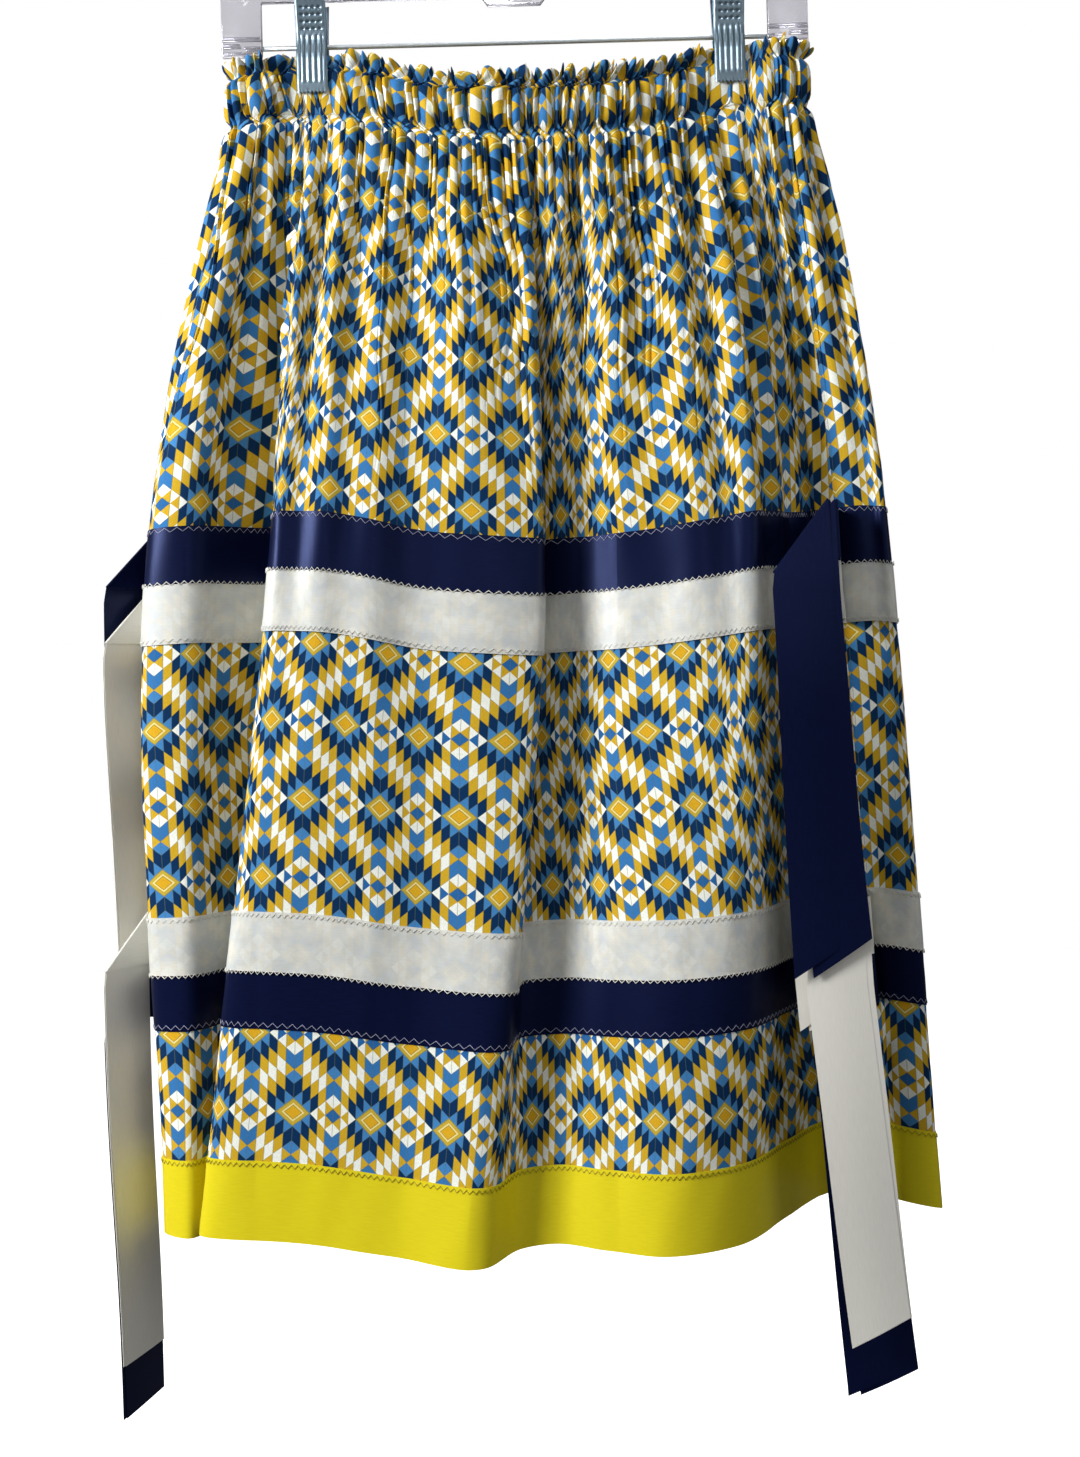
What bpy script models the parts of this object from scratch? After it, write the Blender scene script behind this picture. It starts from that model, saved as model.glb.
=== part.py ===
"""A gathered ribbon skirt with an elastic waist, held by two clips on a clear hanger.

Metres, +Z up, the skirt's front faces -Y. The origin is the inner top of the hanger's hook.
Tables are in millimetres and are turned to metres where a mesh is made.
"""

import math
from collections import namedtuple

import bmesh
import bpy
import numpy as np

MM = 0.001

# Distances down the cloth from the top of the frill
CUT_LENGTH = 737.0
CASING_SEAM = 38.0
BAND_LEVEL = 300.0
UPPER_TOP = 295.5
UPPER_JOIN = 332.5
UPPER_BOTTOM = 369.0
LOWER_TOP = 538.5
LOWER_JOIN = 574.0
LOWER_BOTTOM = 609.5
HEM_BAND_TOP = 689.0

# How much of the folds' average slope they keep at the upper bands
BAND_SLOPE = 0.75

# Cloth thicknesses and the gap left between pieces that are sewn together
PANEL_WALL = 1.2
RIBBON_WALL = 1.0
SEAM_GAP = 0.3

# Gathers in each panel: small ones at the casing, larger folds under it
GATHERS = 52
SOFT_FOLDS = 17

# Columns of a wall: two for each gather, so many across the softer folds, or about this far apart
# between the main folds
SOFT_COLUMNS = 66
FOLD_COLUMN = 17.0

# Hanger
BAR_TOP, BAR_BOTTOM = -76.0, -89.5
LEG_BOTTOM = -124.0
LEG_INNER, LEG_OUTER = 163.0, 189.0
BOSS_HALF, BOSS_TOP, BOSS_BOTTOM = 21.0, -66.0, -95.0
BOSS_SLOPE = 4.0
FRAME_WALL = 5.0
ROD_Z, ROD_RADIUS = -119.0, 1.5
HOOK_RADIUS, HOOK_WIRE = 21.0, 1.9

# Clips
CLIPS = {"left": -130.6, "right": 137.5}
CLIP_WIDTH = 21.5
CLIP_WALL = 1.0
CLIP_PINCH = 3.2
CLIP_HOLD = CLIP_WIDTH / 2 + 2.0
SPRING_INNER, SPRING_OUTER, SPRING_HALF = 1.9, 4.2, 7.5

# The front plate of a clip in section, from its finger end down to its jaw: y, z
CLIP_SECTION = [
    (-11.5, -88),
    (-8.4, -100),
    (-5.3, -111),
    (-5.3, -119),
    (-7.4, -125),
    (-7.5, -146),
    (-7.1, -150),
]

# Ribbon tails: their width, the step from layer to layer, how far past the fold a tail turns, how
# far the outer layer turns beyond that, half the way between two layers in the seam, and how far the
# fold's side stands proud
TAIL_WIDTH = 38.0
LAYER_STEP = 1.6
ELBOW_REACH = 3.0
OUTER_REACH = 2.4
ROOT_APART = 0.75
FOLD_BULGE = 0.35
FOLD_TO_HANG = 8.0

# The way the cloth runs round the skirt: one row for each main fold, going from the left side seam
# across the front to the right side seam and back across the back.
# x and y in plan at the waist, at the upper bands and at the hem, then the height of its two ends.
Fold = namedtuple("Fold", "name waist_x waist_y band_x band_y hem_x hem_y top_z hem_z")
FOLDS = [
    Fold("left_seam", -182, 6, -236, 8, -238, 8, -131, -874),
    Fold("left_end", -184, -3, -240, -22, -241, -18, -131, -875),
    Fold("left_face", -170, -9, -214, -24, -225, -32, -129, -875),
    Fold("left_valley", -152, -7, -166, 12, -196, 24, -127, -873),
    Fold("left_valley_return", -144, -6, -149, 8, -176, 18, -126, -871),
    Fold("front_left_lip", -134, -5, -159, -44, -213, -48, -126, -868),
    Fold("front_left", -98, -9, -112, -52, -143, -60, -129, -872),
    Fold("front_left_middle", -50, -18, -60, -44, -92, -66, -143, -879),
    Fold("centre_lip", -2, -27, 9, -36, -36, -76, -148, -884),
    Fold("centre_under", 7, -24, -1, -8, -16, -54, -148, -880),
    Fold("centre_right", 22, -26, 28, -14, 6, -52, -148, -878),
    Fold("front_right_middle", 50, -23, 58, -26, 36, -64, -146, -879),
    Fold("front_right", 84, -14, 98, -36, 70, -76, -139, -880),
    Fold("right_ridge", 120, -6, 140, -36, 116, -62, -129, -879),
    Fold("recess_slope", 144, -6, 166, -4, 154, -14, -126, -876),
    Fold("recess", 155, -9, 181, 6, 190, 26, -126, -873),
    Fold("recess_return", 162, -9, 190, 3, 219, 26, -126, -872),
    Fold("right_seam", 170, -9, 198, -2, 225, 9, -127, -870),
    Fold("right_lip", 178, -8, 213, -10, 225, -6, -127, -869),
    Fold("right_end", 187, -1, 227, -12, 251, -16, -127, -873),
    Fold("back_right_turn", 181, 8, 223, 20, 246, 14, -127, -875),
    Fold("back_right_side", 166, 10, 197, 42, 226, 52, -127, -877),
    Fold("back_fold_1", 146, 8, 170, 56, 182, 72, -127, -879),
    Fold("back_valley_1", 128, 5, 146, 42, 152, 54, -128, -877),
    Fold("back_fold_2", 108, 9, 122, 62, 126, 90, -131, -880),
    Fold("back_valley_2", 84, 14, 100, 44, 98, 52, -138, -878),
    Fold("back_face_2", 60, 19, 66, 46, 62, 56, -144, -879),
    Fold("back_fold_3", 36, 23, 34, 64, 36, 94, -147, -883),
    Fold("back_fold_4", 4, 26, -2, 66, -12, 98, -148, -884),
    Fold("back_valley_4", -24, 24, -30, 44, -38, 62, -147, -881),
    Fold("back_face_5", -52, 18, -64, 46, -74, 58, -142, -879),
    Fold("back_fold_5", -82, 10, -92, 64, -102, 92, -133, -880),
    Fold("back_fold_6", -112, 6, -128, 60, -142, 86, -127, -878),
    Fold("back_valley_6", -134, 5, -156, 40, -164, 54, -126, -875),
    Fold("back_left_face", -154, 9, -184, 46, -200, 64, -128, -877),
    Fold("back_left_side", -172, 10, -218, 32, -228, 38, -130, -875),
]

# How far the gathers and the softer folds stand to each side, down the cloth
GATHER_FADE = {"down": (0, 8, 22, 38, 55, 85, 115), "size": (2.2, 1.3, 1.6, 1.9, 2.2, 1.1, 0)}
FOLD_FADE = {
    "down": (38, 85, 120, 170, 230, 300, 369, 455, 540),
    "size": (0.0, 3.2, 4.8, 4.4, 3.0, 1.8, 1.0, 0.4, 0.0),
}

# The casing in section: how far down, how far it stands out, half its thickness
Casing = namedtuple("Casing", "down out half_wall")
CASING = [
    Casing(0.0, 1.2, 0.8),
    Casing(8.0, -0.3, 0.9),
    Casing(22.0, 1.0, 1.1),
    Casing(CASING_SEAM - SEAM_GAP, -0.1, 0.9),
]

# Rows of the panels: how far down, and the form whose columns they have
PANEL_ROWS = [
    (CASING_SEAM, "gathers"),
    (55.0, "gathers"),
    (85.0, "gathers"),
    (120.0, "soft_folds"),
    (170.0, "soft_folds"),
    (230.0, "soft_folds"),
    (UPPER_TOP, "main_folds"),
    (UPPER_JOIN, "main_folds"),
    (UPPER_BOTTOM, "main_folds"),
    (455.0, "main_folds"),
    (LOWER_TOP, "main_folds"),
    (LOWER_JOIN, "main_folds"),
    (LOWER_BOTTOM, "main_folds"),
    (HEM_BAND_TOP, "main_folds"),
    (CUT_LENGTH, "main_folds"),
]

# The ribbons and the hem band: name, top and bottom down the cloth, material
Band = namedtuple("Band", "name top bottom finish")
BANDS = [
    Band("upper_navy_ribbon", UPPER_TOP, UPPER_JOIN, "navy_satin"),
    Band("upper_cream_ribbon", UPPER_JOIN, UPPER_BOTTOM, "cream_satin"),
    Band("lower_cream_ribbon", LOWER_TOP, LOWER_JOIN, "cream_satin"),
    Band("lower_navy_ribbon", LOWER_JOIN, LOWER_BOTTOM, "navy_satin"),
    Band("hem_band", HEM_BAND_TOP, CUT_LENGTH, "yellow_satin"),
]

# Where the stack of tails hangs at each side: height, its left edge in plan, how far it is turned
Stack = namedtuple("Stack", "z x y turned")
STACKS = {
    "right": [
        Stack(-420, 147, -55, 4),
        Stack(-719, 156, -56, 4),
        Stack(-980, 172, -58, 4),
    ],
    "left": [
        Stack(-420, -267, -24, 55),
        Stack(-700, -273, -28, 58),
        Stack(-1000, -266, -28, 66),
    ],
}

# How far the second layer of a pair lies to the right of the first, and which layer turns outermost
LAYER_SHIFT = {"right": 4.0, "left": 0.6}
OUTER_LAYER = {"right": 1, "left": 0}

# A pair of tails for each band: its place in the stack, the height of its left end, and how much
# higher its right end is cut
Tail = namedtuple("Tail", "side band across depth end_z cut")
TAILS = [
    Tail("right", "upper_navy", 0, 0, -719, 23),
    Tail("right", "upper_cream", 3, 12.6, -753, 24),
    Tail("right", "lower_cream", 13, 4.6, -945, 14),
    Tail("right", "lower_navy", 13, 23, -976, 18),
    Tail("left", "upper_navy", 8, 15.5, -712, 18),
    Tail("left", "upper_cream", 2, 9, -748, 16),
    Tail("left", "lower_cream", 0, 0, -964, 4),
    Tail("left", "lower_navy", 8, 3, -996, 6),
]

# Colour, roughness, metallic
FINISHES = {
    "printed_cotton": ((0.42, 0.43, 0.33), 0.8, 0.0),
    "navy_satin": ((0.012, 0.016, 0.11), 0.35, 0.0),
    "cream_satin": ((0.68, 0.66, 0.56), 0.4, 0.0),
    "yellow_satin": ((0.8, 0.72, 0.02), 0.4, 0.0),
    "clear_plastic": ((0.8, 0.82, 0.84), 0.08, 0.0),
    "plated_steel": ((0.55, 0.58, 0.6), 0.25, 1.0),
}


def closed_slopes(knots, values, around):
    """Slopes of a smooth closed curve that passes through the values at the knots."""
    before = (knots - np.roll(knots, 1)) % around
    after = (np.roll(knots, -1) - knots) % around
    rise_before = (values - np.roll(values, 1, axis=0)) / before[:, None]
    rise_after = (np.roll(values, -1, axis=0) - values) / after[:, None]
    weighted = rise_before * after[:, None] + rise_after * before[:, None]
    return weighted / (before + after)[:, None]


HEM = np.array([(fold.hem_x, fold.hem_y) for fold in FOLDS], float)
HEM_STEPS = np.linalg.norm(np.roll(HEM, -1, axis=0) - HEM, axis=1)
AROUND = HEM_STEPS.sum()
KNOTS = np.concatenate([[0.0], np.cumsum(HEM_STEPS)[:-1]])
RIGHT_SEAM = KNOTS[[fold.name for fold in FOLDS].index("right_seam")]
SEAMS = {"left": 0.0, "right": RIGHT_SEAM}
SIDES = {"front": (0.0, RIGHT_SEAM), "back": (RIGHT_SEAM, AROUND)}


def smooth_step(t, length, near, far, near_slope, far_slope):
    """A cubic between two values with a slope at each end."""
    return (
        (2 * t**3 - 3 * t**2 + 1) * near
        + (t**3 - 2 * t**2 + t) * length * near_slope
        + (3 * t**2 - 2 * t**3) * far
        + (t**3 - t**2) * length * far_slope
    )


def fold_columns(down):
    """x, y, top z and hem z of every fold at this distance down the cloth."""
    level = max(down, CASING_SEAM)
    waist = np.array([(fold.waist_x, fold.waist_y) for fold in FOLDS], float)
    band = np.array([(fold.band_x, fold.band_y) for fold in FOLDS], float)
    upper, lower = BAND_LEVEL - CASING_SEAM, CUT_LENGTH - BAND_LEVEL
    slope_above, slope_below = (band - waist) / upper, (HEM - band) / lower
    at_band = BAND_SLOPE * (slope_above * lower + slope_below * upper) / (upper + lower)
    if level < BAND_LEVEL:
        t = (level - CASING_SEAM) / upper
        plan = smooth_step(t, upper, waist, band, slope_above, at_band)
    else:
        t = (level - BAND_LEVEL) / lower
        plan = smooth_step(t, lower, band, HEM, at_band, slope_below)
    heights = np.array([(fold.top_z, fold.hem_z) for fold in FOLDS], float)
    return np.hstack([plan, heights])


def along_folds(around, down):
    """The smooth closed curve through the folds: its values and its slopes at these places."""
    values = fold_columns(down)
    slopes = closed_slopes(KNOTS, values, AROUND)
    place = np.mod(around, AROUND)
    row = np.searchsorted(KNOTS, place, side="right") - 1
    following = (row + 1) % len(KNOTS)
    step = (KNOTS[following] - KNOTS[row]) % AROUND
    t = ((place - KNOTS[row]) / step)[:, None]
    step = step[:, None]
    point = smooth_step(t, step, values[row], values[following], slopes[row], slopes[following])
    slope = (
        (6 * t**2 - 6 * t) * values[row] / step
        + (3 * t**2 - 4 * t + 1) * slopes[row]
        + (6 * t - 6 * t**2) * values[following] / step
        + (3 * t**2 - 2 * t) * slopes[following]
    )
    return point, slope


def near_clip(x, reach, fade):
    """1 within reach of a clip's middle, falling to 0 over the fade."""
    distance = np.min([abs(x - middle) for middle in CLIPS.values()], axis=0)
    return np.clip((reach + fade - distance) / fade, 0.0, 1.0)


def gathers(around, down, x):
    """How far the gathers and softer folds move the cloth outwards."""
    place = np.mod(around, AROUND)
    in_front = place <= RIGHT_SEAM
    share = np.where(in_front, place / RIGHT_SEAM, (place - RIGHT_SEAM) / (AROUND - RIGHT_SEAM))
    turn = 2 * math.pi * share
    uneven = 1 + 0.22 * np.sin(13 * turn) + 0.16 * np.sin(31 * turn + 1)
    calm = 1 - 0.7 * near_clip(x, CLIP_HOLD, 8.0)
    small = np.cos(GATHERS * turn) * uneven * calm
    wander = SOFT_FOLDS * turn + 0.9 * np.sin(3 * turn) + 0.5 * np.sin(5 * turn)
    soft = np.sin(wander) * (1 + 0.3 * np.sin(4 * turn + 1))
    small_size = np.interp(down, GATHER_FADE["down"], GATHER_FADE["size"])
    soft_size = np.interp(down, FOLD_FADE["down"], FOLD_FADE["size"])
    return small * small_size + soft * soft_size


def cloth_points(around, down, outward):
    """Points of the cloth in millimetres, moved outwards from its middle surface."""
    around = np.atleast_1d(np.asarray(around, float))
    point, slope = along_folds(around, down)
    length = np.hypot(slope[:, 0], slope[:, 1])
    normal = np.stack([slope[:, 1], -slope[:, 0]], axis=1) / length[:, None]
    x, y = point[:, 0], point[:, 1]
    held = near_clip(x, CLIP_HOLD, 14.0) * np.clip((80.0 - down) / 45.0, 0.0, 1.0)
    y = y * (1 - held) + np.where(y < 0, -CLIP_PINCH, CLIP_PINCH) * held
    moved = gathers(around, down, x) + outward
    share = down / CUT_LENGTH
    z = point[:, 2] * (1 - share) + point[:, 3] * share
    return np.stack([x + normal[:, 0] * moved, y + normal[:, 1] * moved, z], axis=1)


def places_around(side, form):
    """Places round the skirt from seam to seam, as close as the form needs them."""
    start, end = SIDES[side]
    if form == "main_folds":
        knots = [knot for knot in KNOTS if start <= knot < end] + [end]
        places = [start]
        for near, far in zip(knots, knots[1:]):
            parts = max(1, round((far - near) / FOLD_COLUMN))
            places += list(np.linspace(near, far, parts + 1)[1:])
        places = np.array(places)
    else:
        count = 2 * GATHERS if form == "gathers" else SOFT_COLUMNS
        places = np.linspace(start, end, count + 1)
    places[0] += SEAM_GAP / 2
    places[-1] -= SEAM_GAP / 2
    return places


def wall_row(side, form, down, middle, half_wall):
    """A row of a wall: the places round the skirt, then its outer and inner points."""
    around = places_around(side, form)
    outer = cloth_points(around, down, middle + half_wall)
    inner = cloth_points(around, down, middle - half_wall)
    return around, outer, inner


def joined_rows(upper, lower, upper_places, lower_places):
    """Triangles between two rows of vertices, which may differ in number."""
    faces = []
    i = j = 0
    while i < len(upper) - 1 or j < len(lower) - 1:
        upper_next = upper_places[i + 1] if i < len(upper) - 1 else math.inf
        lower_next = lower_places[j + 1] if j < len(lower) - 1 else math.inf
        if upper_next <= lower_next:
            faces.append((upper[i], lower[j], upper[i + 1]))
            i += 1
        else:
            faces.append((upper[i], lower[j], lower[j + 1]))
            j += 1
    return faces


def finish(name):
    """The material of this name, made once."""
    if name in bpy.data.materials:
        return bpy.data.materials[name]
    colour, roughness, metallic = FINISHES[name]
    material = bpy.data.materials.new(name)
    material.use_nodes = True
    shader = material.node_tree.nodes["Principled BSDF"]
    shader.inputs["Base Color"].default_value = (*colour, 1.0)
    shader.inputs["Roughness"].default_value = roughness
    shader.inputs["Metallic"].default_value = metallic
    if name == "clear_plastic":
        shader.inputs["Transmission Weight"].default_value = 0.9
    return material


def add_mesh(name, points, faces, finish_name, smooth=True):
    """A named object of the skirt from points in millimetres."""
    mesh = bpy.data.meshes.new(name)
    mesh.from_pydata([tuple(point) for point in np.asarray(points) * MM], [], faces)
    piece = bpy.data.objects.new(name, mesh)
    skirt.objects.link(piece)
    mesh.materials.append(finish(finish_name))
    if smooth:
        mesh.shade_smooth()
    return piece


def wall_solid(name, rows, finish_name):
    """A closed wall through its rows, from the top down."""
    points = np.concatenate([np.concatenate([outer, inner]) for _, outer, inner in rows])
    outer_rows, inner_rows = [], []
    first = 0
    for places, outer, _ in rows:
        count = len(places)
        outer_rows.append(list(range(first, first + count)))
        inner_rows.append(list(range(first + count, first + 2 * count)))
        first += 2 * count
    faces = []
    for k in range(len(rows) - 1):
        places = rows[k][0], rows[k + 1][0]
        faces += joined_rows(outer_rows[k], outer_rows[k + 1], *places)
        inside = joined_rows(inner_rows[k], inner_rows[k + 1], *places)
        faces += [tuple(reversed(face)) for face in inside]
        for end in (0, -1):
            above = outer_rows[k][end], inner_rows[k][end]
            below = inner_rows[k + 1][end], outer_rows[k + 1][end]
            edge = above + below
            faces.append(edge if end == 0 else edge[::-1])
    for k, turned in ((0, False), (-1, True)):
        for i in range(len(outer_rows[k]) - 1):
            edge = (outer_rows[k][i], outer_rows[k][i + 1], inner_rows[k][i + 1], inner_rows[k][i])
            faces.append(edge[::-1] if turned else edge)
    return add_mesh(name, points, faces, finish_name)


def build_cloth():
    """Casing, panels, ribbons and hem band, front and back."""
    outside = PANEL_WALL / 2 + SEAM_GAP + RIBBON_WALL / 2
    for side in SIDES:
        casing = [wall_row(side, "gathers", row.down, row.out, row.half_wall) for row in CASING]
        wall_solid(f"waist_casing_{side}", casing, "printed_cotton")
        rows = [wall_row(side, form, down, 0.0, PANEL_WALL / 2) for down, form in PANEL_ROWS]
        wall_solid(f"{side}_panel", rows, "printed_cotton")
        for band in BANDS:
            # A ribbon that meets the one above starts a seam's gap lower
            joined = band.top in (UPPER_JOIN, LOWER_JOIN)
            top = band.top + (SEAM_GAP if joined else 0.0)
            rows = [
                wall_row(side, "main_folds", down, outside, RIBBON_WALL / 2)
                for down in (top, band.bottom)
            ]
            wall_solid(f"{band.name}_{side}", rows, band.finish)


def stack_point(side, across, depth, z):
    """A point of the stack of tails, across its width from the left edge and back into it."""
    rows = STACKS[side]
    heights = [-row.z for row in rows]
    x, y, turned = (np.interp(-z, heights, [row[k] for row in rows]) for k in (1, 2, 3))
    angle = math.radians(turned)
    return (
        x + across * math.cos(angle) - depth * math.sin(angle),
        y + across * math.sin(angle) + depth * math.cos(angle),
        z,
    )


def tail_root(side, down, elbow, other_elbow):
    """Where a layer leaves the seam, beside the other layer on the way to its elbow."""
    base, out = (cloth_points(SEAMS[side], down, outward)[0] for outward in (0.0, 1.0))
    normal = (out - base)[:2]
    way = (elbow + other_elbow) / 2 - base[:2]
    way /= np.hypot(*way)
    aside = np.array([-way[1], way[0]])
    if aside @ (elbow - other_elbow) < 0:
        aside = -aside
    lean = normal @ aside
    clear = PANEL_WALL / 2 + RIBBON_WALL + 2 * SEAM_GAP + RIBBON_WALL / 2 * abs(lean)
    reach = (clear - ROOT_APART * lean) / (normal @ way)
    return (*(base[:2] + way * reach + aside * ROOT_APART), base[2])


def tail_sections(tail, layer):
    """Pairs of points down a tail, right edge first: root, elbow, fold, then the hanging length."""
    side = tail.side
    band = next(band for band in BANDS if band.name.startswith(tail.band))
    edges = band.top + SEAM_GAP + RIBBON_WALL / 2, band.bottom - SEAM_GAP - RIBBON_WALL / 2
    z_top, z_bottom = (cloth_points(SEAMS[side], down, 0.0)[0][2] for down in edges)

    def place(across, depth, z):
        return stack_point(side, across, depth, z)

    def elbow(of_layer, z):
        reach = ELBOW_REACH + (OUTER_REACH if of_layer == OUTER_LAYER[side] else 0.0)
        right = tail.across + LAYER_SHIFT[side] * of_layer + TAIL_WIDTH
        return place(right + reach, tail.depth + LAYER_STEP * (3 - of_layer), z)

    elbows = [[np.array(elbow(k, z)[:2]) for z in (z_top, z_bottom)] for k in (layer, 1 - layer)]
    roots = [tail_root(side, edges[k], elbows[0][k], elbows[1][k]) for k in (0, 1)]
    left = tail.across + LAYER_SHIFT[side] * layer
    right = left + TAIL_WIDTH
    hang = tail.depth + LAYER_STEP * layer
    behind = tail.depth + LAYER_STEP * (3 - layer)
    middle = (hang + behind) / 2
    bulge = FOLD_BULGE * (behind - hang)
    z_hang = z_bottom - FOLD_TO_HANG

    def hanging(share):
        z_left = z_hang + share * (tail.end_z - z_hang)
        return place(right, hang, z_left + share * tail.cut), place(left, hang, z_left)

    return [
        roots,
        (elbow(layer, z_top), elbow(layer, z_bottom)),
        (place(right, behind, z_top), place(left, behind, z_bottom)),
        (place(right - bulge, middle, z_top + bulge), place(left - bulge, middle, z_bottom + bulge)),
        (place(right, hang, z_top), place(left, hang, z_bottom)),
        hanging(0.0),
        hanging(0.33),
        hanging(0.67),
        hanging(1.0),
    ]


def build_tails():
    """A pair of ribbon ends for each band at each side seam."""
    for tail in TAILS:
        colour = "navy_satin" if "navy" in tail.band else "cream_satin"
        for layer, letter in enumerate("ab"):
            sections = tail_sections(tail, layer)
            points = [point for pair in sections for point in pair]
            faces = [(2 * k, 2 * k + 1, 2 * k + 3, 2 * k + 2) for k in range(len(sections) - 1)]
            piece = add_mesh(f"tail_{tail.side}_{tail.band}_{letter}", points, faces, colour)
            add_wall(piece, RIBBON_WALL)


def add_wall(piece, thickness):
    """Gives an open surface its thickness, half to each side."""
    wall = piece.modifiers.new("wall", "SOLIDIFY")
    wall.thickness = thickness * MM
    wall.offset = 0.0
    wall.use_even_offset = True


def outline_solid(name, outline, wall, finish_name):
    """A flat piece in the XZ plane from its outline in millimetres."""
    curve = bpy.data.curves.new(name, "CURVE")
    curve.dimensions = "2D"
    curve.fill_mode = "BOTH"
    curve.extrude = wall / 2 * MM
    spline = curve.splines.new("POLY")
    spline.points.add(len(outline) - 1)
    for point, (x, z) in zip(spline.points, outline):
        point.co = (x * MM, z * MM, 0.0, 1.0)
    spline.use_cyclic_u = True
    curve.materials.append(finish(finish_name))
    piece = bpy.data.objects.new(name, curve)
    piece.rotation_euler.x = math.pi / 2
    skirt.objects.link(piece)
    return piece


def wire(name, route, radius, finish_name):
    """A round wire along a route in millimetres."""
    curve = bpy.data.curves.new(name, "CURVE")
    curve.dimensions = "3D"
    curve.bevel_depth = radius * MM
    curve.bevel_resolution = 2
    curve.use_fill_caps = True
    spline = curve.splines.new("POLY")
    spline.points.add(len(route) - 1)
    for point, place in zip(spline.points, route):
        point.co = (*(value * MM for value in place), 1.0)
    curve.materials.append(finish(finish_name))
    piece = bpy.data.objects.new(name, curve)
    skirt.objects.link(piece)
    return piece


def arc(middle_x, middle_z, radius, start, end, count):
    """Points of an arc in the XZ plane, with its angles in degrees."""
    angles = np.radians(np.linspace(start, end, count))
    return [(middle_x + radius * math.cos(a), middle_z + radius * math.sin(a)) for a in angles]


def build_hanger():
    """Clear frame with a boss and two legs, the rod between them and the hook above."""
    corner = 5.0
    half = [
        (BOSS_HALF - BOSS_SLOPE, BOSS_TOP),
        (BOSS_HALF, BOSS_TOP - BOSS_SLOPE),
        (BOSS_HALF + BOSS_SLOPE, BAR_TOP),
    ]
    half += arc(LEG_OUTER - corner, BAR_TOP - corner, corner, 90, 0, 4)
    half += [(LEG_OUTER, LEG_BOTTOM), (LEG_INNER, LEG_BOTTOM), (LEG_INNER, BAR_BOTTOM)]
    half += [(BOSS_HALF, BAR_BOTTOM), (BOSS_HALF - BOSS_SLOPE, BOSS_BOTTOM)]
    outline = half + [(-x, z) for x, z in reversed(half)]
    outline_solid("hanger_frame", outline, FRAME_WALL, "clear_plastic")

    end = LEG_INNER - SEAM_GAP
    wire("hanger_rod", [(-end, 0, ROD_Z), (end, 0, ROD_Z)], ROD_RADIUS, "plated_steel")

    bow_z = HOOK_WIRE - HOOK_RADIUS
    route = arc(0.0, bow_z, HOOK_RADIUS, 205, -50, 22)
    route += arc(8.0, -56.0, 8.0, 120, 180, 5)
    route.append((0.0, BOSS_TOP + SEAM_GAP))
    wire("hanger_hook", [(x, 0.0, z) for x, z in route], HOOK_WIRE, "plated_steel")


def build_clip(name, middle):
    """A sprung clip: two plates that grip the casing, and the spring's sleeve on the rod."""
    for side, sign in (("front", 1), ("back", -1)):
        points = [
            (middle + across * CLIP_WIDTH / 2, sign * y, z)
            for y, z in CLIP_SECTION
            for across in (-1, 1)
        ]
        faces = [(2 * k, 2 * k + 2, 2 * k + 3, 2 * k + 1) for k in range(len(CLIP_SECTION) - 1)]
        plate = add_mesh(f"clip_{name}_{side}", points, faces, "plated_steel", smooth=False)
        add_wall(plate, CLIP_WALL)
    ring = [
        (-SPRING_HALF, SPRING_INNER),
        (-SPRING_HALF, SPRING_OUTER),
        (SPRING_HALF, SPRING_OUTER),
        (SPRING_HALF, SPRING_INNER),
    ]
    points = [(x, 0.0, radius) for x, radius in ring]
    sleeve = add_mesh(f"clip_{name}_spring", points, [], "plated_steel", smooth=False)
    edges = bmesh.new()
    edges.from_mesh(sleeve.data)
    edges.verts.ensure_lookup_table()
    for k in range(len(ring)):
        edges.edges.new((edges.verts[k], edges.verts[(k + 1) % len(ring)]))
    edges.to_mesh(sleeve.data)
    edges.free()
    sleeve.location = (middle * MM, 0.0, ROD_Z * MM)
    turned = sleeve.modifiers.new("turned", "SCREW")
    turned.axis = "X"
    turned.steps = turned.render_steps = 16
    turned.use_merge_vertices = True
    turned.merge_threshold = 0.00005
    turned.use_normal_flip = True


for old in list(bpy.data.objects):
    bpy.data.objects.remove(old)
skirt = bpy.data.collections.new("ribbon_skirt")
bpy.context.scene.collection.children.link(skirt)
build_cloth()
build_tails()
build_hanger()
for clip_name, clip_middle in CLIPS.items():
    build_clip(clip_name, clip_middle)
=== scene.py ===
"""A gathered ribbon skirt on a clip hanger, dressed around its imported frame.

The cloth, ribbons and tails are thin shells on the same folds as the solids. Tables are in
millimetres and are turned to metres where a mesh is made. +Z is up, the skirt's front faces -Y and
the origin is the inner top of the hanger's hook.
"""

import math
from collections import namedtuple

import bmesh
import bpy
import numpy as np
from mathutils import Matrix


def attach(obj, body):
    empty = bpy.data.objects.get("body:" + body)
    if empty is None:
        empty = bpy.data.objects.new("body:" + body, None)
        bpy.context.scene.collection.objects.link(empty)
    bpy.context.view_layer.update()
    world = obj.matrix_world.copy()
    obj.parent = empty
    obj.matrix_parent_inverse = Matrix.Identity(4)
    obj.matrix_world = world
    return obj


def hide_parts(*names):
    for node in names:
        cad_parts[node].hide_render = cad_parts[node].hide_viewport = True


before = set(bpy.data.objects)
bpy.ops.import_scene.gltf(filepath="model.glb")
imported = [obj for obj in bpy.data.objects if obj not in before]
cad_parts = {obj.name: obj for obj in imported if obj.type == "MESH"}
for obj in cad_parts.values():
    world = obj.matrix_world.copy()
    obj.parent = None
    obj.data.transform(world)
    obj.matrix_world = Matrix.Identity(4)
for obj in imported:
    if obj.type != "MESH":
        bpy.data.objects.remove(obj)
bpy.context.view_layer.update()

MM = 0.001


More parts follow.
